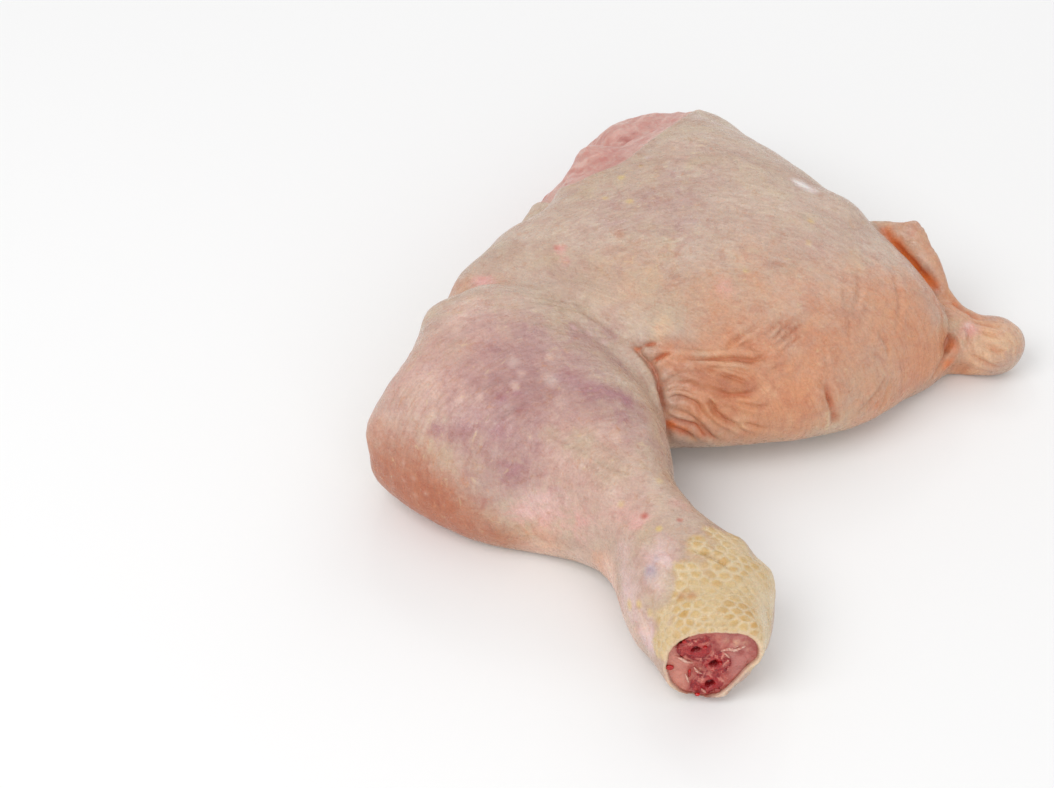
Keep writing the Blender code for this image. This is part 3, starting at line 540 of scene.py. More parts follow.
def from_bmesh(bm, name):
    """A new object from a bmesh, which is freed."""
    mesh = bpy.data.meshes.new(name)
    bm.to_mesh(mesh)
    bm.free()
    obj = bpy.data.objects.new(name, mesh)
    bpy.context.scene.collection.objects.link(obj)
    return obj


def copy_of(obj, name):
    """A new object with the same mesh."""
    bm = bmesh.new()
    bm.from_mesh(obj.data)
    return from_bmesh(bm, name)


class Clay:
    """The points of a mesh in millimetres, with their normals, to be pushed about and painted."""

    def __init__(self, obj):
        self.mesh = obj.data
        self.read()

    def read(self):
        flat = np.empty(len(self.mesh.vertices) * 3)
        self.mesh.vertices.foreach_get("co", flat)
        self.points = flat.reshape(-1, 3) / MM
        flat = np.empty(len(self.mesh.vertices) * 3)
        self.mesh.vertices.foreach_get("normal", flat)
        self.normals = flat.reshape(-1, 3)

    def write(self):
        self.mesh.vertices.foreach_set("co", (self.points * MM).ravel())
        self.mesh.update()
        self.read()

    def push(self, heights, way=None):
        self.points = self.points + (self.normals if way is None else way) * heights[:, None]

    def paint(self, name, values):
        layer = self.mesh.attributes.get(name) or self.mesh.attributes.new(name, "FLOAT", "POINT")
        layer.data.foreach_set("value", np.asarray(values, dtype=np.float32))

    def painted(self, name):
        values = np.empty(len(self.mesh.vertices), dtype=np.float32)
        self.mesh.attributes[name].data.foreach_get("value", values)
        return values.astype(float)

    def relax(self, rounds, weight):
        """Draw each point towards the middle of its neighbours."""
        flat = np.empty(len(self.mesh.edges) * 2, dtype=np.int32)
        self.mesh.edges.foreach_get("vertices", flat)
        one, other = flat.reshape(-1, 2).T
        count = len(self.points)
        degree = np.bincount(one, minlength=count) + np.bincount(other, minlength=count)
        for _ in range(rounds):
            middle = np.stack([
                np.bincount(one, self.points[other, axis], count)
                + np.bincount(other, self.points[one, axis], count) for axis in range(3)
            ], axis=1) / degree[:, None]
            self.points = self.points + (middle - self.points) * (0.5 * weight)[:, None]
        self.write()

    def fold(self, width, depth, lift, points):
        """Press a crease along a path, with a raised shoulder on both sides; both fade at its ends.

        Returns how far each point lies in the crease, from 0 to 1.
        """
        path = smooth_path(points)
        near = np.all((self.points > path.min(axis=0) - 4 * width)
                      & (self.points < path.max(axis=0) + 4 * width), axis=1)
        gap, share = follow(self.points[near], path)
        fade = np.sqrt(np.clip(np.sin(np.pi * np.clip(share, 0.02, 0.98)), 0, 1))
        groove = np.exp(-(gap / (0.6 * width)) ** 2)
        shoulder = np.exp(-((gap - 1.7 * width) / (0.8 * width)) ** 2)
        heights = np.zeros(len(self.points))
        heights[near] = fade * (lift * shoulder - depth * groove)
        self.push(heights)
        self.write()
        inside = np.zeros(len(self.points))
        inside[near] = fade * groove
        return inside

    def raise_spots(self, places, sizes, heights):
        """Raise a round bump at each place; returns their mask, from 0 to 1."""
        mask = np.zeros(len(self.points))
        tree = tree_of(self.points)
        for place, size, height in zip(places, sizes, heights):
            for _, index, gap in tree.find_range(Vector(place), size * 1.6):
                mask[index] = max(mask[index], height * math.exp(-(gap / size) ** 2 * 1.5))
        return mask


def refine(obj, mask):
    """Split the faces whose corners all lie under the mask."""
    bm = bmesh.new()
    bm.from_mesh(obj.data)
    faces = [face for face in bm.faces if all(mask[vert.index] for vert in face.verts)]
    edges = list({edge for face in faces for edge in face.edges})
    bmesh.ops.subdivide_edges(bm, edges=edges, cuts=1, use_grid_fill=True)
    bmesh.ops.triangulate(bm, faces=[face for face in bm.faces if len(face.verts) > 4])
    bm.to_mesh(obj.data)
    bm.free()


def patch_of(form, name, keep, levels):
    """An open sheet of some of a form's faces, split finer."""
    bm = bmesh.new()
    bm.from_mesh(form.data)
    gone = [face for face in bm.faces if not all(keep[vert.index] for vert in face.verts)]
    bmesh.ops.delete(bm, geom=gone, context="FACES")
    for _ in range(levels):
        bmesh.ops.subdivide_edges(bm, edges=bm.edges[:], cuts=1, use_grid_fill=True)
    return from_bmesh(bm, name)


def thicken(obj, thickness):
    """Close a sheet into a solid, with its thickness behind it."""
    apply_modifier(obj, "SOLIDIFY", thickness=thickness * MM, offset=-1.0, use_rim=True)


def finish_piece(obj, slot, material, *nodes):
    """Give a piece its material and its body, and say which nodes it stands in for; slot is not used."""
    obj.data.materials.clear()
    obj.data.materials.append(material)
    select_only(obj)
    bpy.ops.object.shade_smooth()
    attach(obj, BODY)
    if nodes:
        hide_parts(*nodes)


# ---------------------------------------------------------------------------------------------
# The form that every piece starts from


def cut_level(points):
    """Height over the plane of the cut, in millimetres; what lies behind it is negative."""
    return (points - CUT_POINT) @ CUT_NORMAL


def bare_distance(points):
    """How far past the skin's edge a point lies, seen from above; under the skin it is negative."""
    path = smooth_path([(x, y, 0) for x, y in SKIN_EDGE], 4)
    flat = points * (1, 1, 0)
    gap, _ = follow(flat, path)
    side = np.zeros(len(points))
    best = np.full(len(points), np.inf)
    for a, b in zip(path, path[1:]):
        near = np.linalg.norm(flat - (a + b) / 2, axis=1)
        closer = near < best
        way = b - a
        turn = way[0] * (flat[:, 1] - a[1]) - way[1] * (flat[:, 0] - a[0])
        side[closer] = np.sign(turn[closer])
        best[closer] = near[closer]
    return gap * side


def opening_inset(points):
    """How far inside the opening of the skin a point of the cut lies, in millimetres."""
    loop = smooth_path([(x, 0, z) for x, z in OPENING + OPENING[:1]], 5)
    flat = points * (1, 0, 1)
    gap, _ = follow(flat, loop)
    inside = np.zeros(len(points), dtype=bool)
    for (x0, _, z0), (x1, _, z1) in zip(loop, loop[1:]):
        if z0 == z1:
            continue
        crosses = (flat[:, 2] > z0) != (flat[:, 2] > z1)
        inside ^= crosses & (flat[:, 0] < x0 + (flat[:, 2] - z0) * (x1 - x0) / (z1 - z0))
    return np.where(inside, gap, -gap)


def join_nodes(names):
    """One object from the solids of these nodes."""
    bm = bmesh.new()
    for name in names:
        bm.from_mesh(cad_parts[name].data)
    bmesh.ops.remove_doubles(bm, verts=bm.verts, dist=1e-6)
    return from_bmesh(bm, FORM)


def keep_largest(obj):
    """Delete every loose body but the largest."""
    bm = bmesh.new()
    bm.from_mesh(obj.data)
    bm.verts.ensure_lookup_table()
    seen = np.zeros(len(bm.verts), dtype=bool)
    bodies = []
    for start in bm.verts:
        if seen[start.index]:
            continue
        seen[start.index] = True
        body, queue = [start], [start]
        while queue:
            for edge in queue.pop().link_edges:
                for vert in edge.verts:
                    if not seen[vert.index]:
                        seen[vert.index] = True
                        body.append(vert)
                        queue.append(vert)
        bodies.append(body)
    bodies.sort(key=len)
    for body in bodies[:-1]:
        bmesh.ops.delete(bm, geom=body, context="VERTS")
    bm.to_mesh(obj.data)
    bm.free()


def fill_marrow(clay):
    """Bring the walls and floors of the holes in the bone's end out to the plane of the cut."""
    level = cut_level(clay.points)
    middle_x, middle_z, radius = BONE_AREA
    inner = np.hypot(clay.points[:, 0] - middle_x, clay.points[:, 2] - middle_z) < radius
    holes = inner & (level > -5) & (level < -0.05)
    clay.push(np.where(holes, -level, 0), CUT_NORMAL)
    clay.write()
    clay.relax(6, inner & (level > -5))


def build_form(settings):
    """The smooth outside of the whole leg, from its three solids."""
    obj = join_nodes(("skin", "meat", "leg_bone"))
    apply_modifier(obj, "REMESH", mode="VOXEL", voxel_size=settings.voxel)
    keep_largest(obj)
    clay = Clay(obj)
    level = cut_level(clay.points)
    free = step(0.2, 3.0, clay.points[:, 2]) * step(0.3, 3.5, -level)
    flap = dabs(clay.points, FLAP_EDGE)
    fill_marrow(clay)
    clay.relax(settings.rounds, free * (1 - flap))
    for x, y, z, radius, height in SHAPING:
        clay.push(dabs(clay.points, ((x, y, z, radius, 1.0),)) * height * (clay.points[:, 2] > 0.1))
    clay.write()
    tip = step(-83, -94, clay.points[:, 1]) * step(9, 0, clay.points[:, 2])
    clay.points[:, 2] += 1.6 * tip
    clay.write()
    flare = step(-9.0, 0.0, cut_level(clay.points))
    away = (clay.points - CUT_MIDDLE) * (1, 0, 1)
    clay.push(settings.flare / MM * flare, away / np.maximum(np.linalg.norm(away, axis=1), 4)[:, None])
    clay.write()
    clay.paint("cut_inset", np.where(cut_level(clay.points) > -1.6, opening_inset(clay.points), -9))
    clay.paint("bare", bare_distance(clay.points) + 0.4 * noise(clay.points, 9.0, 3))
    return obj


def leg_form():
    """The form, which is built when a piece first needs it."""
    return bpy.data.objects.get(FORM) or build_form(bpy.context.scene.leg_form)


# ---------------------------------------------------------------------------------------------
# Skin


def grain_of(points):
    """Across and along the fine lines of the skin, in millimetres."""
    ahead = (points - KNEE) @ DRUMSTICK_AHEAD
    aside = (points - KNEE) @ DRUMSTICK_ASIDE
    turn = np.arctan2(aside, points[:, 2] - 16)
    from_crook = points - CROOK
    across = np.linalg.norm(from_crook * (1, 1, 0.8), axis=1)
    along = np.arctan2(from_crook[:, 1], from_crook[:, 0]) * 70
    on_leg = step(-6, 10, -(points @ (0.50, 0.87, 0.0) + 11))
    thigh = np.stack([across, along, np.zeros(len(points))], axis=1)
    drumstick = np.stack([ahead + 6 * np.cos(turn), turn * 26, np.full(len(points), 40.0)], axis=1)
    return thigh * (1 - on_leg)[:, None] + drumstick * on_leg[:, None]


def scatter(points, spacing, seed, allowed):
    """Points picked at random, no two nearer than the spacing."""
    order = np.flatnonzero(allowed)
    np.random.default_rng(seed).shuffle(order)
    taken = {}
    chosen = []
    for index in order:
        point = points[index]
        cell = tuple(int(value // spacing) for value in point)
        near = (taken.get((cell[0] + i, cell[1] + j, cell[2] + k), ())
                for i in (-1, 0, 1) for j in (-1, 0, 1) for k in (-1, 0, 1))
        if all(sum((point - other) ** 2) > spacing ** 2 for group in near for other in group):
            taken.setdefault(cell, []).append(point)
            chosen.append(point)
    return np.array(chosen)


def crumple(clay, grain, depth):
    """Press the soft waves and the fine wrinkles of wet skin."""
    shown = step(0.3, 3.0, clay.points[:, 2])
    shown *= 1 - 0.8 * dabs(clay.points, FLAP_FACE)
    clay.push(shown * (0.30 * noise(clay.points, 16, 1) + 0.14 * noise(clay.points, 6, 2)
                       + 0.10 * noise(clay.points, 3.1, 3) + 0.05 * noise(clay.points, 1.7, 4)))
    across = noise(grain * (1, 0.14, 1), 2.6, 11)
    fine = 1 - np.abs(noise(grain * (1, 0.16, 1), 2.2, 12)) * 2
    patchy = step(-0.3, 0.6, noise(clay.points, 14, 13))
    clay.push(shown * depth * (0.5 * across + 0.5 * fine * patchy) * (clay.points[:, 1] > SCALES_FROM))
    clay.write()


def press_folds(clay):
    """Press the folds in; returns the painted shade that their creases carry."""
    crease_shade = np.zeros(len(clay.points))
    for width, depth, lift, colour, points in CROOK_FOLDS + SKIN_FOLDS:
        crease_shade = np.maximum(crease_shade, colour * clay.fold(width, depth, lift, points))
    return crease_shade


def raise_follicles(clay, height):
    """Raise the feather follicles and the soft lumps between them; returns their two masks."""
    clear = (clay.points[:, 1] > SCALES_FROM) & (clay.painted("bare") < 0) & (clay.points[:, 2] > 2.5)
    rng = np.random.default_rng(8)
    masks = []
    for spacing, seed, low, patches, least, most in (
            (3.4, 5, 0.25, FOLLICLE_PATCHES, 0.7, 1.15), (8.5, 6, 0.0, LUMPY_PATCHES, 1.7, 2.9)):
        places = scatter(clay.points, spacing, seed, clear)
        strong = low + (1 - low) * dabs(places, patches)
        heights = strong * rng.uniform(0.2, 1.0, len(places))
        sizes = rng.uniform(least, most, len(places))
        masks.append(clay.raise_spots(places, sizes, heights))
    clay.push(height * (masks[0] + 1.3 * masks[1]))
    clay.write()
    return masks


def unroll_hock(points):
    """Around and down the hock, in millimetres along its skin, over the edge of the cut too."""
    away_x = points[:, 0] + 5 + 0.18 * (points[:, 1] + 92)
    away_z = points[:, 2] - 10
    turn = np.arctan2(away_z, away_x)
    radius = np.hypot(away_x, away_z)
    level = cut_level(points)
    ring = (level < -2.5) & (level > -6)
    edges = np.linspace(-np.pi, np.pi, 37)
    middles = (edges[:-1] + edges[1:]) / 2
    cell = np.digitize(turn[ring], edges) - 1
    widest = np.array([radius[ring][cell == index].max(initial=11.0) for index in range(36)])
    outer = np.interp(turn, middles, widest, period=2 * np.pi)
    over = np.clip(outer - radius, 0, None) * step(-5.0, -1.0, level)
    return turn * 13.0, over - points[:, 1]


def scale_sites():
    """Places of the hock's scales, in unrolled rows that grow finer up the leg, with a tone each."""
    rng = np.random.default_rng(21)
    sites = []
    row, pitch, at = 0, 2.75, 103.0
    while at > 60:
        for column in range(-16, 17):
            sites.append((column * pitch + 0.5 * pitch * (row % 2) + rng.normal(0, 0.15 * pitch),
                          at + rng.normal(0, 0.13 * pitch), rng.uniform(-1, 1)))
        at -= pitch * 0.80
        pitch *= 0.988
        row += 1
    return np.array(sites)


def press_scales(clay, height):
    """Press the horny scales; returns the horn's zone, the pale borders and a tone for each scale."""
    around, down = unroll_hock(clay.points)
    sites = scale_sites()
    tree = tree_of(np.stack([sites[:, 0], sites[:, 1], 0 * sites[:, 0]], axis=1))
    soft = dabs(clay.points, SCALE_ZONE)
    count = len(clay.points)
    border, tone, offset = np.zeros(count), np.zeros(count), np.zeros(count)
    for index in np.flatnonzero(soft > 0.02):
        (_, site, first), (_, _, second) = tree.find_n((around[index], down[index], 0), 2)
        border[index] = second - first
        tone[index] = offset[index] = sites[site, 2]
    border = 1 - step(0.15, 1.15, border)
    zone = step(0.20, 0.66, soft + 0.10 * noise(clay.points, 3.0, 6) + 0.10 * offset)
    plain = dabs(clay.points, PLAIN_HORN)
    clear = zone * (1 - 0.9 * plain)
    clay.push(clear * height * (0.5 - 1.1 * border))
    clay.write()
    return zone, border * clear, tone * clear


def sink_pockets(clay, depth):
    """Sink the face of the cut and the bare muscle, so that the skin ends in an edge round each."""
    inset = clay.painted("cut_inset")
    ragged = inset + 0.30 * noise(clay.points, 2.2, 9)
    clay.push(-CUT_DEPTH * step(-0.2, 0.9, ragged), CUT_NORMAL)
    clay.push(np.where(inset > -8, 0.4 * np.exp(-((inset + 0.9) / 0.8) ** 2), 0), CUT_NORMAL)
    bare = clay.painted("bare")
    clay.push(-depth * step(0.0, 1.6, bare) + 0.2 * np.exp(-((bare + 0.6) / 0.7) ** 2))
    clay.points[:, 2] = np.maximum(clay.points[:, 2], 0)
    clay.write()


def thin_hidden(obj, hidden):
    """Take out most of the faces that other pieces hide, and those of the flat underside."""
    group = obj.vertex_groups.new(name="hidden")
    group.add([int(index) for index in np.flatnonzero(hidden)], 1.0, "REPLACE")
    apply_modifier(obj, "DECIMATE", ratio=1 - 0.85 * float(np.mean(hidden)), vertex_group="hidden")
    obj.vertex_groups.clear()
    bm = bmesh.new()
    bm.from_mesh(obj.data)
    under = [face for face in bm.faces if all(vert.co.z < 1e-5 for vert in face.verts)]
    verts = list({vert for face in under for vert in face.verts})
    edges = list({edge for face in under for edge in face.edges})
    bmesh.ops.dissolve_limit(bm, angle_limit=0.01, verts=verts, edges=edges, delimit=set())
    bmesh.ops.triangulate(bm, faces=bm.faces[:])
    bm.to_mesh(obj.data)
    bm.free()


def build_skin(settings):
    """The skin, with its folds, follicles, scales and its edges round the cut and the muscle."""
    obj = copy_of(leg_form(), "leg_skin")
    clay = Clay(obj)
    hock = (clay.points[:, 1] < HOCK_FROM) & (clay.points[:, 2] > 2)
    crook = dabs(clay.points, CROOK_AREA) > 0.1
    tail = dabs(clay.points, TAIL_AREA) > 0.1
    edge = np.abs(clay.painted("bare")) < 2.2
    refine(obj, hock | crook | edge | tail)
    clay = Clay(obj)
    clay.relax(2, np.where((clay.points[:, 1] < HOCK_FROM) & (cut_level(clay.points) < -0.6), 1.0, 0.0))
    rim = np.abs(clay.painted("cut_inset")) < 1.6
    refine(obj, (dabs(clay.points, SCALE_ZONE) > 0.2) & (clay.painted("cut_inset") < 1.2) | rim)
    clay = Clay(obj)
    grain = grain_of(clay.points)
    crumple(clay, grain, settings.wrinkle / MM)
    crease_shade = press_folds(clay)
    follicle, lump = raise_follicles(clay, settings.follicle / MM)
    zone, border, tone = press_scales(clay, settings.scale / MM)
    sink_pockets(clay, settings.edge / MM)
    inset, bare = clay.painted("cut_inset"), clay.painted("bare")
    for name, values in (
            ("crease_shade", crease_shade), ("follicle", follicle), ("lump", lump), ("scales", zone),
            ("scale_border", border), ("scale_tone", tone),
            ("plain_horn", dabs(clay.points, PLAIN_HORN)), ("rusty", dabs(clay.points, RUSTY_SCALES)),
            ("raw", step(-0.5, 0.5, inset)), ("rim", np.exp(-((inset + 0.5) / 0.6) ** 2)),
            ("peeled", step(-0.2, 0.8, bare)),
            ("smooth", step(-50, -64, clay.points[:, 1]))):
        clay.paint(name, values)
    layer = clay.mesh.attributes.new("grain", "FLOAT_VECTOR", "POINT")
    layer.data.foreach_set("vector", grain.astype(np.float32).ravel())
    for name, brushes in TINTS.items():
        clay.paint(name, dabs(clay.points, brushes))
    thin_hidden(obj, (inset > 1.6) | (bare > 3.5))
    finish_piece(obj, "skin", skin_material(settings), "skin")


# ---------------------------------------------------------------------------------------------
# Muscle


def build_muscle(settings):
    """The bare muscle at the hip end of the thigh, which runs a little way under the skin."""
    form = leg_form()
    obj = patch_of(form, "thigh_muscle", Clay(form).painted("bare") > -4, 0)
    clay = Clay(obj)
    refine(obj, (clay.painted("bare") > -2.5) & (clay.points[:, 2] > 7))
    clay = Clay(obj)
    bare = clay.painted("bare")
    along = clay.points @ (0.55, 0.75, 0.3)
    across = bare + 1.2 * noise(clay.points, 9, 30)
    fibre = np.stack([across, along * 0.16, clay.points[:, 2] * 0.5], axis=1)
    lines = noise(fibre, 1.1, 31) + 0.7 * noise(fibre, 2.3, 32)
    grain = noise(clay.points, 1.9, 33)
    waves = 0.5 * noise(clay.points, 8, 34)
    sunk = settings.sink / MM + 1.0 * step(0.8, -0.6, bare)
    clay.push(-sunk + (0.22 * lines + 0.16 * grain + waves) * (bare > -1))
    clay.points[:, 2] = np.maximum(clay.points[:, 2], 0.1)
    clay.write()
    clay.paint("fibre", lines)
    clay.paint("under", step(4.5, 0.0, bare + 1.5 * noise(clay.points, 5, 35)))
    clay.paint("film", dabs(clay.points, MUSCLE_FILM))
    clay.paint("blood", dabs(clay.points, MUSCLE_BLOOD))
    thicken(obj, 3.0)
    finish_piece(obj, "meat", muscle_material(settings), "meat")


# ---------------------------------------------------------------------------------------------
# What shows in the cut: flesh, the bone's end, membranes and blood


def lobe_share(points):
    """1 in the middle of a lobe of the bone, 0 at its edge, and below 0 outside it."""
    x, z = points[:, 0], points[:, 2]
    best = np.full(len(points), -9.0)
    for middle_x, middle_z, half_x, half_z in BONE_LOBES:
        best = np.maximum(best, 1 - np.hypot((x - middle_x) / half_x, (z - middle_z) / half_z))
    flat = points * (1, 0, 1)
    return best + 0.13 * noise(flat, 1.7, 40) + 0.07 * noise(flat, 0.8, 50)


def build_cut_flesh(settings):
    """The flesh in the cut, round the lobes of the bone."""
    form = leg_form()
    start = Clay(form)
    keep = (start.painted("cut_inset") > -1.0) & (start.points[:, 2] > 2.2)
    obj = patch_of(form, "cut_flesh", keep, 2)
    clay = Clay(obj)
    flat = clay.points * (1, 0, 1)
    lobes = lobe_share(clay.points)
    inset = clay.painted("cut_inset")
    tendon = step(-2.5, 1.0, flat[:, 0] + 0.25 * (flat[:, 2] - 12))
    strands = flat @ np.array(((0.25, 0, 0.8), (0, 1, 0), (0.18, 0, -0.6)))
    height = 0.30 * noise(flat, 2.4, 41) + 0.20 * noise(flat, 1.1, 42) + 0.08 * noise(flat, 0.55, 43)
    height = height * (1 - 0.5 * tendon) + 0.22 * tendon * noise(strands, 1.1, 44)
    height -= 0.18 * np.exp(-(lobes / 0.12) ** 2)
    sunk = step(0.9, -0.6, inset)
    clay.push(-FLESH_UNDER + height * (1 - sunk) - 3.2 * step(0.15, 0.4, lobes), CUT_NORMAL)
    clay.write()
    clay.paint("tendon", tendon)
    clay.paint("paler", step(-8.2, -10.4, flat[:, 0]))
    clay.paint("fat", dabs(flat, FAT_PATCHES))
    clay.paint("height", height)
    # Painted shade: darker in the grooves round the bone's lobes and along the edge of the opening.
    clay.paint("groove_shade", np.maximum(np.exp(-(lobes / 0.22) ** 2), 0.4 * step(0.7, 0.0, inset)))
    thicken(obj, 1.6)
    finish_piece(obj, "meat", cut_flesh_material(settings))


def build_bone_end(settings):
    """The lobes of spongy bone in the cut, with the holes of the marrow."""
    form = leg_form()
    start = Clay(form)
    keep = (start.painted("cut_inset") > 0.0) & (lobe_share(start.points) > -0.45)
    obj = patch_of(form, "bone_end", keep, 2)
    clay = Clay(obj)
    flat = clay.points * (1, 0, 1)
    lobes = lobe_share(clay.points)
    height = 0.45 * step(-0.1, 0.5, lobes) - 1.0 * step(0.0, -0.35, lobes)
    height += (lobes > 0) * (0.22 * noise(flat, 1.3, 45) + 0.20 * noise(flat, 0.75, 46)
                             + 0.12 * noise(flat, 0.45, 47))
    blood = np.zeros(len(flat))
    # Blood round the marrow holes: the marrow's dark red, with painted shade deepest in the pits.
    for hole_x, hole_z, radius in MARROW_HOLES:
        gap = np.hypot(flat[:, 0] - hole_x, (flat[:, 2] - hole_z) * 1.2)
        wobble = radius * (1 + 0.30 * noise(flat, 1.3, 48))
        height -= settings.pit / MM * step(1.25, 0.45, gap / wobble)
        blood = np.maximum(blood, np.exp(-(gap / (1.7 * wobble)) ** 2))
    for stain_x, stain_z, radius in BLOOD_STAINS:
        gap = np.hypot(flat[:, 0] - stain_x, flat[:, 2] - stain_z) * (1 + 0.4 * noise(flat, 1.1, 49))
        blood = np.maximum(blood, 0.75 * np.exp(-(gap / radius) ** 2))
    clay.push(-BONE_UNDER + height, CUT_NORMAL)
    clay.write()
    clay.paint("blood", blood)
    clay.paint("height", height)
    thicken(obj, 1.2)
    finish_piece(obj, "bone", bone_end_material(settings), "leg_bone")


def on_the_cut(x, z, height):
    """A place on the cut, at a height over it."""
    depth = (CUT_POINT[2] - z) * CUT_NORMAL[2] / CUT_NORMAL[1]
    return Vector((x, CUT_POINT[1] + depth, z)) * MM + Vector(CUT_NORMAL) * height * MM


def build_membranes(settings):
    """Threads of membrane that lie half sunk in the flesh of the cut."""
    strands = []
    for width, points in MEMBRANES:
        path = [on_the_cut(x, z, height - FLESH_UNDER) for x, z, height in smooth_path(points, 8)]
        bpy.ops.object.select_all(action="DESELECT")
        bpy.ops.curve.primitive_nurbs_path_add()
        strand = bpy.context.object
        curve = strand.data
        curve.splines.clear()
        spline = curve.splines.new("POLY")
        spline.points.add(len(path) - 1)
        for index, (point, place) in enumerate(zip(spline.points, path)):
            point.co = (*place, 1)
            swell = math.sin(math.pi * (index + 0.5) / len(path)) * (1 + 0.35 * math.sin(2.3 * index))
            point.radius = 0.3 + 0.7 * swell
        curve.bevel_depth = width * MM
        curve.bevel_resolution = 3
        curve.use_fill_caps = True
        bpy.ops.object.convert(target="MESH")
        bpy.ops.object.mode_set(mode="EDIT")
        bpy.ops.mesh.select_all(action="SELECT")
        bpy.ops.mesh.remove_doubles(threshold=0.001 * MM)
        bpy.ops.mesh.normals_make_consistent(inside=False)
        bpy.ops.object.mode_set(mode="OBJECT")
        strands.append(strand)
    obj = join_up(strands, "membranes")
    finish_piece(obj, "meat", membrane_material(settings))


def build_blood(settings):
    """Flat drops of clotted blood, half sunk in the flesh of the cut."""
    drops = []
    for number, (x, z, half_x, half_z, height) in enumerate(CLOTS):
        bpy.ops.object.select_all(action="DESELECT")
        bpy.ops.mesh.primitive_uv_sphere_add(segments=24, ring_count=14, radius=MM,
                                             location=on_the_cut(x, z, height - BLOOD_UNDER))
        drop = bpy.context.object
        bpy.ops.object.mode_set(mode="EDIT")
        bpy.ops.mesh.select_all(action="SELECT")
        bpy.ops.transform.resize(value=(half_x, 0.45, half_z))
        bpy.ops.transform.vertex_random(offset=0.05 * MM, uniform=1.0, seed=number)
        bpy.ops.mesh.vertices_smooth(factor=0.5, repeat=2)
        bpy.ops.object.mode_set(mode="OBJECT")
        drops.append(drop)
    obj = join_up(drops, "blood")
    finish_piece(obj, "meat", blood_material(settings))


# ---------------------------------------------------------------------------------------------
# Materials


class Graph:
    """A node tree, with short calls for the nodes that the materials use."""

    def __init__(self, tree):
        self.tree = tree

    def node(self, kind, **settings):
        node = self.tree.nodes.new(kind)
        for name, value in settings.items():
            setattr(node, name, value)
        return node

    def feed(self, socket, value):
        if isinstance(value, bpy.types.NodeSocket):
            self.tree.links.new(value, socket)
        elif isinstance(value, tuple) and len(value) == 3 and socket.type == "RGBA":
            socket.default_value = (*value, 1)
        else:
            socket.default_value = value

    def attribute(self, name, output="Fac"):
        return self.node("ShaderNodeAttribute", attribute_name=name).outputs[output]

    def noise(self, vector, scale, detail=2.0, roughness=0.5, distortion=0.0):
        node = self.node("ShaderNodeTexNoise")
        for name, value in (("Vector", vector), ("Scale", scale), ("Detail", detail),
                            ("Roughness", roughness), ("Distortion", distortion)):
            self.feed(node.inputs[name], value)
        return node.outputs["Fac"]

    def math(self, operation, first, second=0.0, third=0.0):
        node = self.node("ShaderNodeMath", operation=operation)
        for socket, value in zip(node.inputs, (first, second, third)):
            self.feed(socket, value)
        return node.outputs["Value"]

    def between(self, value, low, high, start=0.0, end=1.0):
        node = self.node("ShaderNodeMapRange", interpolation_type="SMOOTHSTEP")
        for name, item in (("Value", value), ("From Min", low), ("From Max", high), ("To Min", start),
                           ("To Max", end)):
            self.feed(node.inputs[name], item)
        return node.outputs["Result"]

    def line(self, value, level, width):
        """1 where the value is at the level, falling to 0 on both sides."""
        gap = self.math("ABSOLUTE", self.math("SUBTRACT", value, level))
        return self.between(gap, 0.0, width, 1.0, 0.0)

    def mix(self, factor, first, second, blend="MIX"):
        node = self.node("ShaderNodeMix", data_type="RGBA", blend_type=blend)
        self.feed(node.inputs["Factor"], factor)
        self.feed(node.inputs[6], first)
        self.feed(node.inputs[7], second)
        return node.outputs[2]

    def tint(self, colour, value, low, high, most, tone):
        """Mix a tone into a colour as the value goes from low to high, up to the share given."""
        return self.mix(self.between(value, low, high, 0.0, most), colour, srgb(*tone))

    def shade(self, colour, value, low, high, most, factor):
        """The same, with a factor that multiplies the colour."""
        return self.mix(self.between(value, low, high, 0.0, most), colour, factor, "MULTIPLY")

    def stretch(self, vector, scale):
        node = self.node("ShaderNodeVectorMath", operation="MULTIPLY")
        self.feed(node.inputs[0], vector)
        node.inputs[1].default_value = scale
        return node.outputs["Vector"]

    def group(self, tree, **values):
        node = self.node("ShaderNodeGroup", node_tree=tree)
        for name, value in values.items():
            self.feed(node.inputs[name.replace("_", " ")], value)
        return node.outputs

    def coat(self, shader, place, colour, pimples, wet, dry):
        """Give a shader its colour under the wet film; returns the film's height."""
        film = self.group(wet_film(), Vector=place, Pimples=pimples, Wet=wet, Dry=dry)
        self.feed(shader.inputs["Base Color"], colour)
        self.feed(shader.inputs["Roughness"], film["Roughness"])
        return film["Height"]

    def bump(self, shader, height, strength, depth):
        node = self.node("ShaderNodeBump")
        node.inputs["Strength"].default_value = strength
        node.inputs["Distance"].default_value = depth * MM
        self.feed(node.inputs["Height"], height)
        self.feed(shader.inputs["Normal"], node.outputs["Normal"])


def wet_film():
    """Node group: the pimpled, unevenly wet surface that skin, muscle, bone and the cut share."""
    tree = bpy.data.node_groups.get("wet_film")
    if tree:
        return tree
    tree = bpy.data.node_groups.new("wet_film", "ShaderNodeTree")
    for name, kind, way in (
            ("Vector", "NodeSocketVector", "INPUT"), ("Pimples", "NodeSocketFloat", "INPUT"),
            ("Wet", "NodeSocketFloat", "INPUT"), ("Dry", "NodeSocketFloat", "INPUT"),
            ("Roughness", "NodeSocketFloat", "OUTPUT"), ("Height", "NodeSocketFloat", "OUTPUT")):
        tree.interface.new_socket(name=name, in_out=way, socket_type=kind)
    graph = Graph(tree)
    given = graph.node("NodeGroupInput").outputs
    result = graph.node("NodeGroupOutput").inputs
    coarse = graph.noise(given["Vector"], given["Pimples"], 3, 0.55, 0.4)
    fine = graph.noise(given["Vector"], graph.math("MULTIPLY", given["Pimples"], 2.7), 2, 0.6)
    graph.feed(result["Height"], graph.math("MULTIPLY_ADD", fine, 0.45, coarse))
    graph.feed(result["Roughness"], graph.between(coarse, 0.32, 0.68, given["Dry"], given["Wet"]))
    return tree


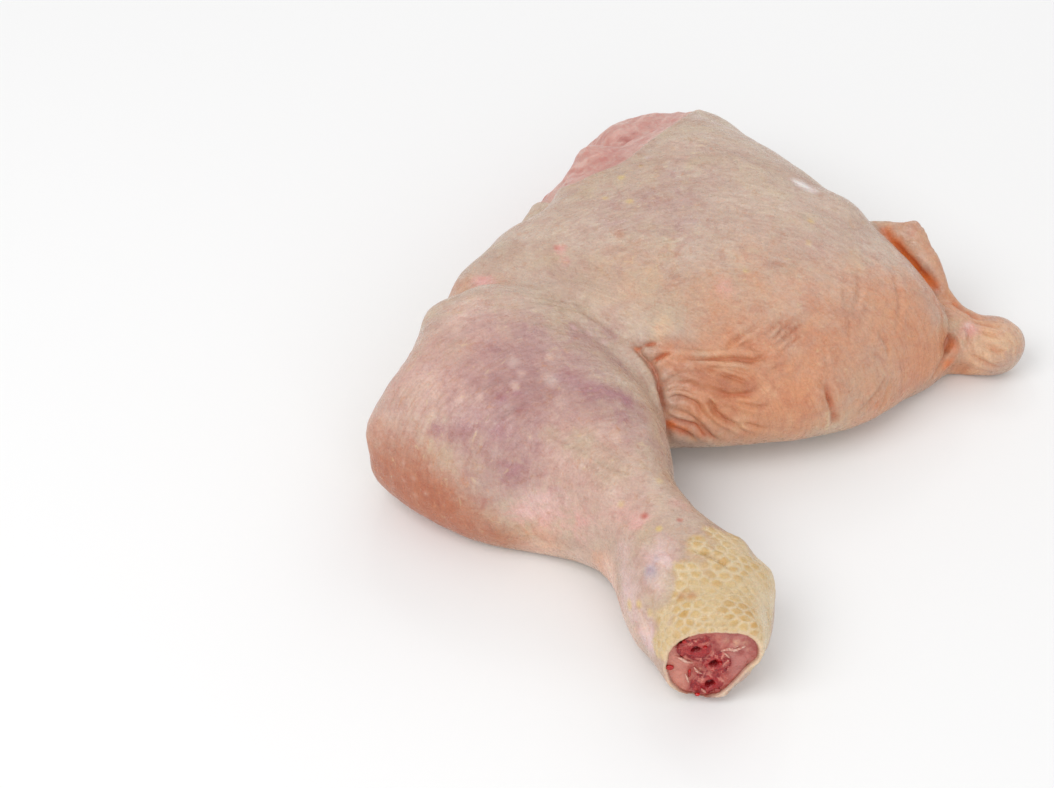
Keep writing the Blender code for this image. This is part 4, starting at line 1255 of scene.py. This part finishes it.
def new_material(name, subsurface, radius, scale, gloss=0.5):
    """A material, its graph, its shader, and places on the object to lay patterns by."""
    material = bpy.data.materials.new(name)
    material.use_nodes = True
    shader = material.node_tree.nodes["Principled BSDF"]
    shader.inputs["Subsurface Weight"].default_value = subsurface
    shader.inputs["Subsurface Radius"].default_value = radius
    shader.inputs["Subsurface Scale"].default_value = scale * MM
    shader.inputs["Specular IOR Level"].default_value = gloss
    graph = Graph(material.node_tree)
    return material, graph, shader, graph.node("ShaderNodeTexCoord").outputs["Object"]


def skin_material(settings):
    material, graph, shader, place = new_material("raw_skin", 0.16, (1.0, 0.5, 0.35), 1.6)
    grain = graph.attribute("grain", "Vector")
    blotch = graph.noise(place, 75, 5, 0.62, 0.8)
    patch = graph.noise(place, 230, 4, 0.6, 1.2)
    streak = graph.noise(graph.stretch(grain, (1.10, 0.16, 1.0)), 1.0, 3, 0.6, 0.8)
    fleck = graph.noise(graph.stretch(grain, (0.55, 0.30, 1.0)), 1.0, 4, 0.6, 0.8)
    coarse = graph.math("MULTIPLY_ADD", graph.attribute("smooth"), -0.7, 1.0)
    streak = graph.math("MULTIPLY_ADD", graph.math("SUBTRACT", streak, 0.5), coarse, 0.5)
    fleck = graph.math("MULTIPLY_ADD", graph.math("SUBTRACT", fleck, 0.5), coarse, 0.5)
    crumb = graph.noise(place, 1900, 3, 0.7, 0.3)
    threads = graph.noise(graph.stretch(grain, (0.36, 0.10, 1.0)), 1.0, 5, 0.68, 1.4)
    threads = graph.line(threads, 0.5, 0.010)
    wisps = graph.noise(graph.stretch(grain, (0.50, 0.14, 1.0)), 1.0, 4, 0.65, 1.2)
    wisps = graph.line(wisps, 0.54, 0.009)

    colour = graph.mix(graph.between(blotch, 0.36, 0.64), tuple(settings.dark), tuple(settings.light))
    green = graph.between(graph.noise(place, 52, 3, 0.6, 0.5), 0.42, 0.66, 0.0, 0.6)
    colour = graph.mix(green, colour, tuple(settings.sallow))
    for name, tint in TINT_COLOURS.items():
        mask = graph.attribute(name)
        ragged = RAGGED.get(name, 0.0)
        broken = graph.math("MULTIPLY_ADD", graph.math("SUBTRACT", patch, 0.5), 1.2 * ragged, mask)
        broken = graph.math("MULTIPLY_ADD", graph.math("SUBTRACT", blotch, 0.5), 1.2 * ragged, broken)
        factor = graph.math("MULTIPLY", graph.between(broken, 0.0, 0.95), graph.between(mask, 0.0, 0.3))
        colour = graph.mix(factor, colour, srgb(*tint))
    marble = graph.noise(place, 170, 5, 0.65, 1.6)
    cloud = graph.noise(place, 290, 4, 0.6, 1.4)
    colour = graph.shade(colour, marble, 0.53, 0.60, 0.7, (0.92, 0.83, 0.83))
    colour = graph.shade(colour, marble, 0.47, 0.41, 0.65, (1.05, 1.08, 1.04))
    colour = graph.shade(colour, cloud, 0.58, 0.64, 0.7, (0.95, 0.86, 0.78))
    colour = graph.shade(colour, cloud, 0.42, 0.36, 0.7, (1.04, 1.07, 1.08))
    colour = graph.shade(colour, streak, 0.53, 0.64, 0.75, (1.06, 1.10, 1.13))
    colour = graph.shade(colour, streak, 0.47, 0.36, 0.75, (0.93, 0.87, 0.85))
    colour = graph.tint(colour, fleck, 0.62, 0.70, 0.38, (198, 136, 100))
    colour = graph.tint(colour, fleck, 0.37, 0.29, 0.34, (220, 196, 150))
    shown = graph.math("MULTIPLY", threads, graph.between(patch, 0.4, 0.6, 0.0, 0.16))
    colour = graph.mix(shown, colour, srgb(236, 218, 200))
    shown = graph.math("MULTIPLY", wisps, graph.between(blotch, 0.4, 0.6, 0.22, 0.0))
    colour = graph.mix(shown, colour, srgb(186, 122, 94))
    # Painted shade: the creases of the folds darkened to an orange brown.
    colour = graph.tint(colour, graph.attribute("crease_shade"), 0.0, 1.0, 0.8, (200, 98, 50))
    colour = graph.tint(colour, graph.attribute("follicle"), 0.05, 0.7, 0.22, (224, 200, 184))
    colour = graph.tint(colour, graph.attribute("lump"), 0.1, 0.8, 0.45, (220, 198, 188))
    tone = graph.between(graph.attribute("scale_tone"), -1.0, 1.0)
    faded = graph.between(blotch, 0.40, 0.60)
    horn = graph.mix(tone, srgb(194, 153, 90), srgb(203, 169, 112))
    horn = graph.mix(graph.math("MULTIPLY", faded, 0.45), horn, srgb(210, 186, 146))
    horn = graph.tint(horn, patch, 0.35, 0.65, 0.3, (216, 198, 164))
    worn = graph.between(blotch, 0.38, 0.62, 0.8, 0.35)
    border = graph.math("MULTIPLY", graph.attribute("scale_border"), worn)
    horn = graph.mix(border, horn, srgb(215, 195, 162))
    horn = graph.mix(graph.attribute("plain_horn"), horn, srgb(222, 202, 170))
    horn = graph.mix(graph.attribute("rusty"), horn, srgb(186, 132, 92))
    colour = graph.mix(graph.attribute("scales"), colour, horn)
    colour = graph.tint(colour, graph.attribute("rim"), 0.2, 1.0, 0.5, (226, 196, 168))
    colour = graph.mix(graph.attribute("raw"), colour, srgb(150, 56, 48))
    colour = graph.mix(graph.attribute("peeled"), colour, srgb(200, 140, 126))
    colour = graph.mix(1.0, colour, graph.between(crumb, 0.30, 0.70, 0.93, 1.07), "MULTIPLY")
    film = graph.coat(shader, place, colour, 700.0, 0.22, 0.44)
    height = graph.math("MULTIPLY_ADD", threads, 0.10, graph.math("MULTIPLY", film, 0.7))
    height = graph.math("MULTIPLY_ADD", streak, 0.30, height)
    graph.bump(shader, height, 0.8, 0.30)
    return material


def muscle_material(settings):
    material, graph, shader, place = new_material("raw_muscle", 0.18, (1.0, 0.35, 0.25), 1.6)
    blotch = graph.noise(place, 120, 4, 0.6, 0.8)
    mottle = graph.noise(place, 420, 4, 0.65, 0.8)
    colour = graph.mix(graph.between(mottle, 0.35, 0.65), tuple(settings.flesh), tuple(settings.flesh_pale))
    colour = graph.tint(colour, graph.attribute("fibre"), 0.0, 0.9, 0.5, (226, 190, 178))
    colour = graph.tint(colour, graph.attribute("fibre"), 0.0, -0.9, 0.5, (184, 112, 104))
    colour = graph.tint(colour, blotch, 0.52, 0.70, 0.5, (186, 122, 112))
    colour = graph.tint(colour, graph.attribute("film"), 0.0, 1.0, 0.7, (208, 174, 154))
    colour = graph.tint(colour, graph.attribute("under"), 0.0, 1.0, 0.55, (208, 170, 152))
    blood = graph.math("MULTIPLY_ADD", graph.math("SUBTRACT", mottle, 0.5), 2.0, graph.attribute("blood"))
    colour = graph.tint(colour, blood, 0.3, 1.1, 0.75, (164, 78, 72))
    film = graph.coat(shader, place, colour, 620.0, 0.30, 0.5)
    graph.bump(shader, film, 0.8, 0.35)
    return material


def cut_flesh_material(settings):
    material, graph, shader, place = new_material("cut_flesh", 0.15, (1.0, 0.3, 0.2), 1.0, 0.55)
    mottle = graph.noise(place, 700, 4, 0.65, 1.0)
    patch = graph.noise(place, 260, 3, 0.6, 0.8)
    colour = graph.mix(graph.between(mottle, 0.38, 0.62), tuple(settings.flesh), srgb(196, 118, 104))
    colour = graph.tint(colour, patch, 0.5, 0.62, 0.6, (150, 50, 48))
    silver = graph.mix(graph.between(patch, 0.4, 0.6), srgb(160, 82, 74), srgb(186, 118, 110))
    colour = graph.mix(graph.math("MULTIPLY", graph.attribute("tendon"), 0.8), colour, silver)
    colour = graph.mix(graph.math("MULTIPLY", graph.attribute("paler"), 0.6), colour, srgb(206, 142, 124))
    fatty = graph.math("MULTIPLY", graph.attribute("fat"), graph.between(mottle, 0.40, 0.56, 0.35, 1.0))
    colour = graph.mix(fatty, colour, srgb(216, 166, 136))
    colour = graph.tint(colour, graph.attribute("height"), 0.0, -0.45, 0.6, (140, 26, 32))
    # Painted shade in the grooves round the lobes and along the opening's edge.
    colour = graph.tint(colour, graph.attribute("groove_shade"), 0.2, 1.0, 0.35, (146, 34, 36))
    film = graph.coat(shader, place, colour, 900.0, 0.16, 0.40)
    graph.bump(shader, film, 0.7, 0.3)
    return material


def bone_end_material(settings):
    material, graph, shader, place = new_material("spongy_bone", 0.10, (1.0, 0.25, 0.2), 0.8, 0.55)
    sponge = graph.noise(place, 1100, 4, 0.7, 1.0)
    patch = graph.noise(place, 330, 3, 0.6, 0.8)
    colour = graph.mix(graph.between(sponge, 0.40, 0.60), srgb(124, 10, 24), tuple(settings.bone))
    colour = graph.tint(colour, patch, 0.50, 0.60, 0.85, (214, 134, 118))
    colour = graph.tint(colour, sponge, 0.60, 0.68, 0.7, (230, 186, 162))
    colour = graph.tint(colour, graph.attribute("height"), 0.5, -0.4, 0.5, (140, 22, 34))
    # The blood round the marrow holes and the stains; its darkest, in the pits, is partly painted shade.
    colour = graph.tint(colour, graph.attribute("blood"), 0.08, 0.5, 0.7, (164, 12, 22))
    colour = graph.tint(colour, graph.attribute("blood"), 0.5, 0.98, 0.92, (116, 4, 12))
    film = graph.coat(shader, place, colour, 1200.0, 0.14, 0.42)
    graph.bump(shader, film, 0.9, 0.3)
    return material


def membrane_material(settings):
    material, graph, shader, place = new_material("membrane", 0.2, (1.0, 0.6, 0.5), 0.6, 0.6)
    mottle = graph.noise(place, 900, 3, 0.6, 0.5)
    colour = graph.mix(graph.between(mottle, 0.35, 0.65), srgb(190, 116, 102), tuple(settings.membrane))
    film = graph.coat(shader, place, colour, 1100.0, 0.15, 0.35)
    graph.bump(shader, film, 0.6, 0.2)
    return material


def blood_material(settings):
    material, graph, shader, place = new_material("blood", 0.1, (1.0, 0.1, 0.1), 0.5, 0.6)
    clot = graph.noise(place, 800, 3, 0.6, 0.5)
    colour = graph.mix(graph.between(clot, 0.35, 0.65), srgb(150, 8, 12), tuple(settings.blood))
    film = graph.coat(shader, place, colour, 900.0, 0.10, 0.22)
    graph.bump(shader, film, 0.4, 0.2)
    return material


def floor_material(settings):
    material = bpy.data.materials.new("pale_floor")
    material.use_nodes = True
    shader = material.node_tree.nodes["Principled BSDF"]
    shader.inputs["Base Color"].default_value = (*settings.floor, 1)
    shader.inputs["Roughness"].default_value = 0.9
    shader.inputs["Specular IOR Level"].default_value = 0.1
    return material


# ---------------------------------------------------------------------------------------------
# Stage


def build_stage(settings):
    """The floor, the camera, the lamps and the light from all round."""
    bpy.ops.object.select_all(action="DESELECT")
    bpy.ops.mesh.primitive_plane_add(size=6.0, location=(0, 0, 0))
    floor = bpy.context.object
    floor.name = "floor"
    floor.data.materials.append(floor_material(settings))

    target = CAMERA_TARGET * MM
    tilt = settings.camera_tilt
    place = target + Vector((0, -math.cos(tilt), math.sin(tilt))) * settings.camera_distance
    turn = (target - place).to_track_quat("-Z", "Y").to_euler()
    bpy.ops.object.camera_add(location=place, rotation=turn)
    camera = bpy.context.object
    camera.data.lens = CAMERA_LENS
    camera.data.sensor_width = CAMERA_SENSOR
    bpy.context.scene.camera = camera

    for name, place, size, share in LAMPS:
        turn = (-Vector(place)).to_track_quat("-Z", "Y").to_euler()
        bpy.ops.object.light_add(type="AREA", location=place, rotation=turn)
        lamp = bpy.context.object
        lamp.name = name
        lamp.data.size = size
        lamp.data.energy = share * settings.lamps
    world = bpy.data.worlds.new("studio")
    world.use_nodes = True
    world.node_tree.nodes["Background"].inputs["Color"].default_value = (1, 1, 1, 1)
    world.node_tree.nodes["Background"].inputs["Strength"].default_value = settings.room_light
    bpy.context.scene.world = world
    bpy.context.scene.view_settings.view_transform = "Standard"


# ---------------------------------------------------------------------------------------------
# Settings


def length(name, description, millimetres, low=0.0, high=10.0):
    """A length setting, given in millimetres."""
    return FloatProperty(name=name, description=description, default=millimetres * MM, min=low * MM,
                         max=high * MM, precision=5, unit="LENGTH")


def colour(name, description, red, green, blue):
    """A colour setting, given in 0-255 display values."""
    return FloatVectorProperty(name=name, description=description, default=srgb(red, green, blue),
                               size=3, min=0.0, max=1.0, subtype="COLOR")


class FormSettings(bpy.types.PropertyGroup):
    voxel: length("Grain of the mesh", "Size of the faces that the form is remeshed to", 0.95, 0.5)
    rounds: IntProperty(name="Smoothing", description="Rounds of smoothing of the form", default=28,
                        min=0, max=80)
    flare: length("Flare", "How far the skin opens out round the cut", 2.0)


class SkinSettings(bpy.types.PropertyGroup):
    light: colour("Light skin", "Lighter tone of the skin", 199, 174, 157)
    dark: colour("Dark skin", "Darker tone of the skin", 189, 160, 143)
    sallow: colour("Sallow skin", "Yellowish tone of the skin over fat", 197, 175, 148)
    wrinkle: length("Wrinkles", "Height of the fine wrinkles", 0.06)
    follicle: length("Follicles", "Height of the raised feather follicles", 0.26)
    scale: length("Hock scales", "Relief of the hock's horny scales", 0.16)
    edge: length("Skin edge", "How far the bare muscle lies under the skin's cut edge", 2.2)


class MuscleSettings(bpy.types.PropertyGroup):
    flesh: colour("Muscle", "Tone of the bare muscle", 199, 138, 128)
    flesh_pale: colour("Pale muscle", "Tone of the muscle's paler grain", 206, 164, 152)
    sink: length("Sink", "How far the muscle lies under the form", 0.7)


class CutSettings(bpy.types.PropertyGroup):
    flesh: colour("Flesh", "Flesh round the bone", 182, 88, 76)
    bone: colour("Bone", "Spongy bone, stained with blood", 176, 50, 46)
    membrane: colour("Membrane", "Threads of membrane", 218, 178, 160)
    blood: colour("Blood", "Clotted blood", 206, 20, 20)
    pit: length("Pits", "Depth of the pits in the bone's end", 1.7)


class StageSettings(bpy.types.PropertyGroup):
    camera_distance: FloatProperty(name="Camera distance", description="Distance of the camera",
                                   default=0.585, min=0.2, max=3.0, unit="LENGTH")
    camera_tilt: FloatProperty(name="Camera tilt", description="How steeply the camera looks down",
                               default=math.radians(42), min=0.0, max=math.radians(90),
                               subtype="ANGLE")
    floor: colour("Floor", "Tone of the floor", 243, 243, 243)
    lamps: FloatProperty(name="Lamps", description="Power of the lamps, times their shares",
                         default=1.0, min=0.0, max=10.0)
    room_light: FloatProperty(name="Room light", description="Strength of the light from all round",
                              default=0.66, min=0.0, max=5.0)


SETTINGS = {
    "leg_form": FormSettings, "leg_skin": SkinSettings, "leg_muscle": MuscleSettings,
    "leg_cut": CutSettings, "leg_stage": StageSettings,
}


# ---------------------------------------------------------------------------------------------
# Operators


class LEG_OT_form(bpy.types.Operator):
    """Build the smooth outside of the leg that the skin, the muscle and the cut start from"""
    bl_idname = "leg.form"
    bl_label = "Form"

    def execute(self, context):
        leg_form()
        return {"FINISHED"}


class LEG_OT_skin(bpy.types.Operator):
    """Build the skin, with its folds, follicles and the scales of the hock"""
    bl_idname = "leg.skin"
    bl_label = "Skin"

    def execute(self, context):
        build_skin(context.scene.leg_skin)
        return {"FINISHED"}


class LEG_OT_muscle(bpy.types.Operator):
    """Build the bare muscle at the hip end of the thigh"""
    bl_idname = "leg.muscle"
    bl_label = "Muscle"

    def execute(self, context):
        build_muscle(context.scene.leg_muscle)
        return {"FINISHED"}


class LEG_OT_cut(bpy.types.Operator):
    """Build the flesh and the spongy end of the bone that show in the cut"""
    bl_idname = "leg.cut"
    bl_label = "Flesh and bone in the cut"

    def execute(self, context):
        build_cut_flesh(context.scene.leg_cut)
        build_bone_end(context.scene.leg_cut)
        return {"FINISHED"}


class LEG_OT_membranes(bpy.types.Operator):
    """Lay the threads of membrane over the cut"""
    bl_idname = "leg.membranes"
    bl_label = "Membranes"

    def execute(self, context):
        build_membranes(context.scene.leg_cut)
        return {"FINISHED"}


class LEG_OT_blood(bpy.types.Operator):
    """Set the drops of clotted blood on the cut"""
    bl_idname = "leg.blood"
    bl_label = "Blood"

    def execute(self, context):
        build_blood(context.scene.leg_cut)
        return {"FINISHED"}


class LEG_OT_clear_form(bpy.types.Operator):
    """Delete the form, once every piece is built"""
    bl_idname = "leg.clear_form"
    bl_label = "Clear the form"

    def execute(self, context):
        bpy.data.objects.remove(bpy.data.objects[FORM])
        return {"FINISHED"}


class LEG_OT_stage(bpy.types.Operator):
    """Set the floor, the camera and the lamps"""
    bl_idname = "leg.stage"
    bl_label = "Stage"

    def execute(self, context):
        build_stage(context.scene.leg_stage)
        return {"FINISHED"}


OPERATORS = (LEG_OT_form, LEG_OT_skin, LEG_OT_muscle, LEG_OT_cut, LEG_OT_membranes, LEG_OT_blood,
             LEG_OT_clear_form, LEG_OT_stage)


class LEG_PT_panel(bpy.types.Panel):
    bl_label = "Chicken leg"
    bl_idname = "LEG_PT_panel"
    bl_space_type = "VIEW_3D"
    bl_region_type = "UI"
    bl_category = "Chicken leg"

    def draw(self, context):
        for operator in OPERATORS:
            self.layout.operator(operator.bl_idname)
        for name, group in SETTINGS.items():
            box = self.layout.box()
            box.label(text=name.replace("_", " ").capitalize())
            for item in group.__annotations__:
                box.prop(getattr(context.scene, name), item)


CLASSES = (*SETTINGS.values(), *OPERATORS, LEG_PT_panel)


def register():
    for item in CLASSES:
        bpy.utils.register_class(item)
    for name, group in SETTINGS.items():
        setattr(bpy.types.Scene, name, PointerProperty(type=group))


def unregister():
    for name in SETTINGS:
        delattr(bpy.types.Scene, name)
    for item in reversed(CLASSES):
        bpy.utils.unregister_class(item)


def main():
    register()
    bpy.ops.leg.form()
    bpy.ops.leg.skin()
    bpy.ops.leg.muscle()
    bpy.ops.leg.cut()
    bpy.ops.leg.membranes()
    bpy.ops.leg.blood()
    bpy.ops.leg.clear_form()
    bpy.ops.leg.stage()


if __name__ == "__main__":
    main()
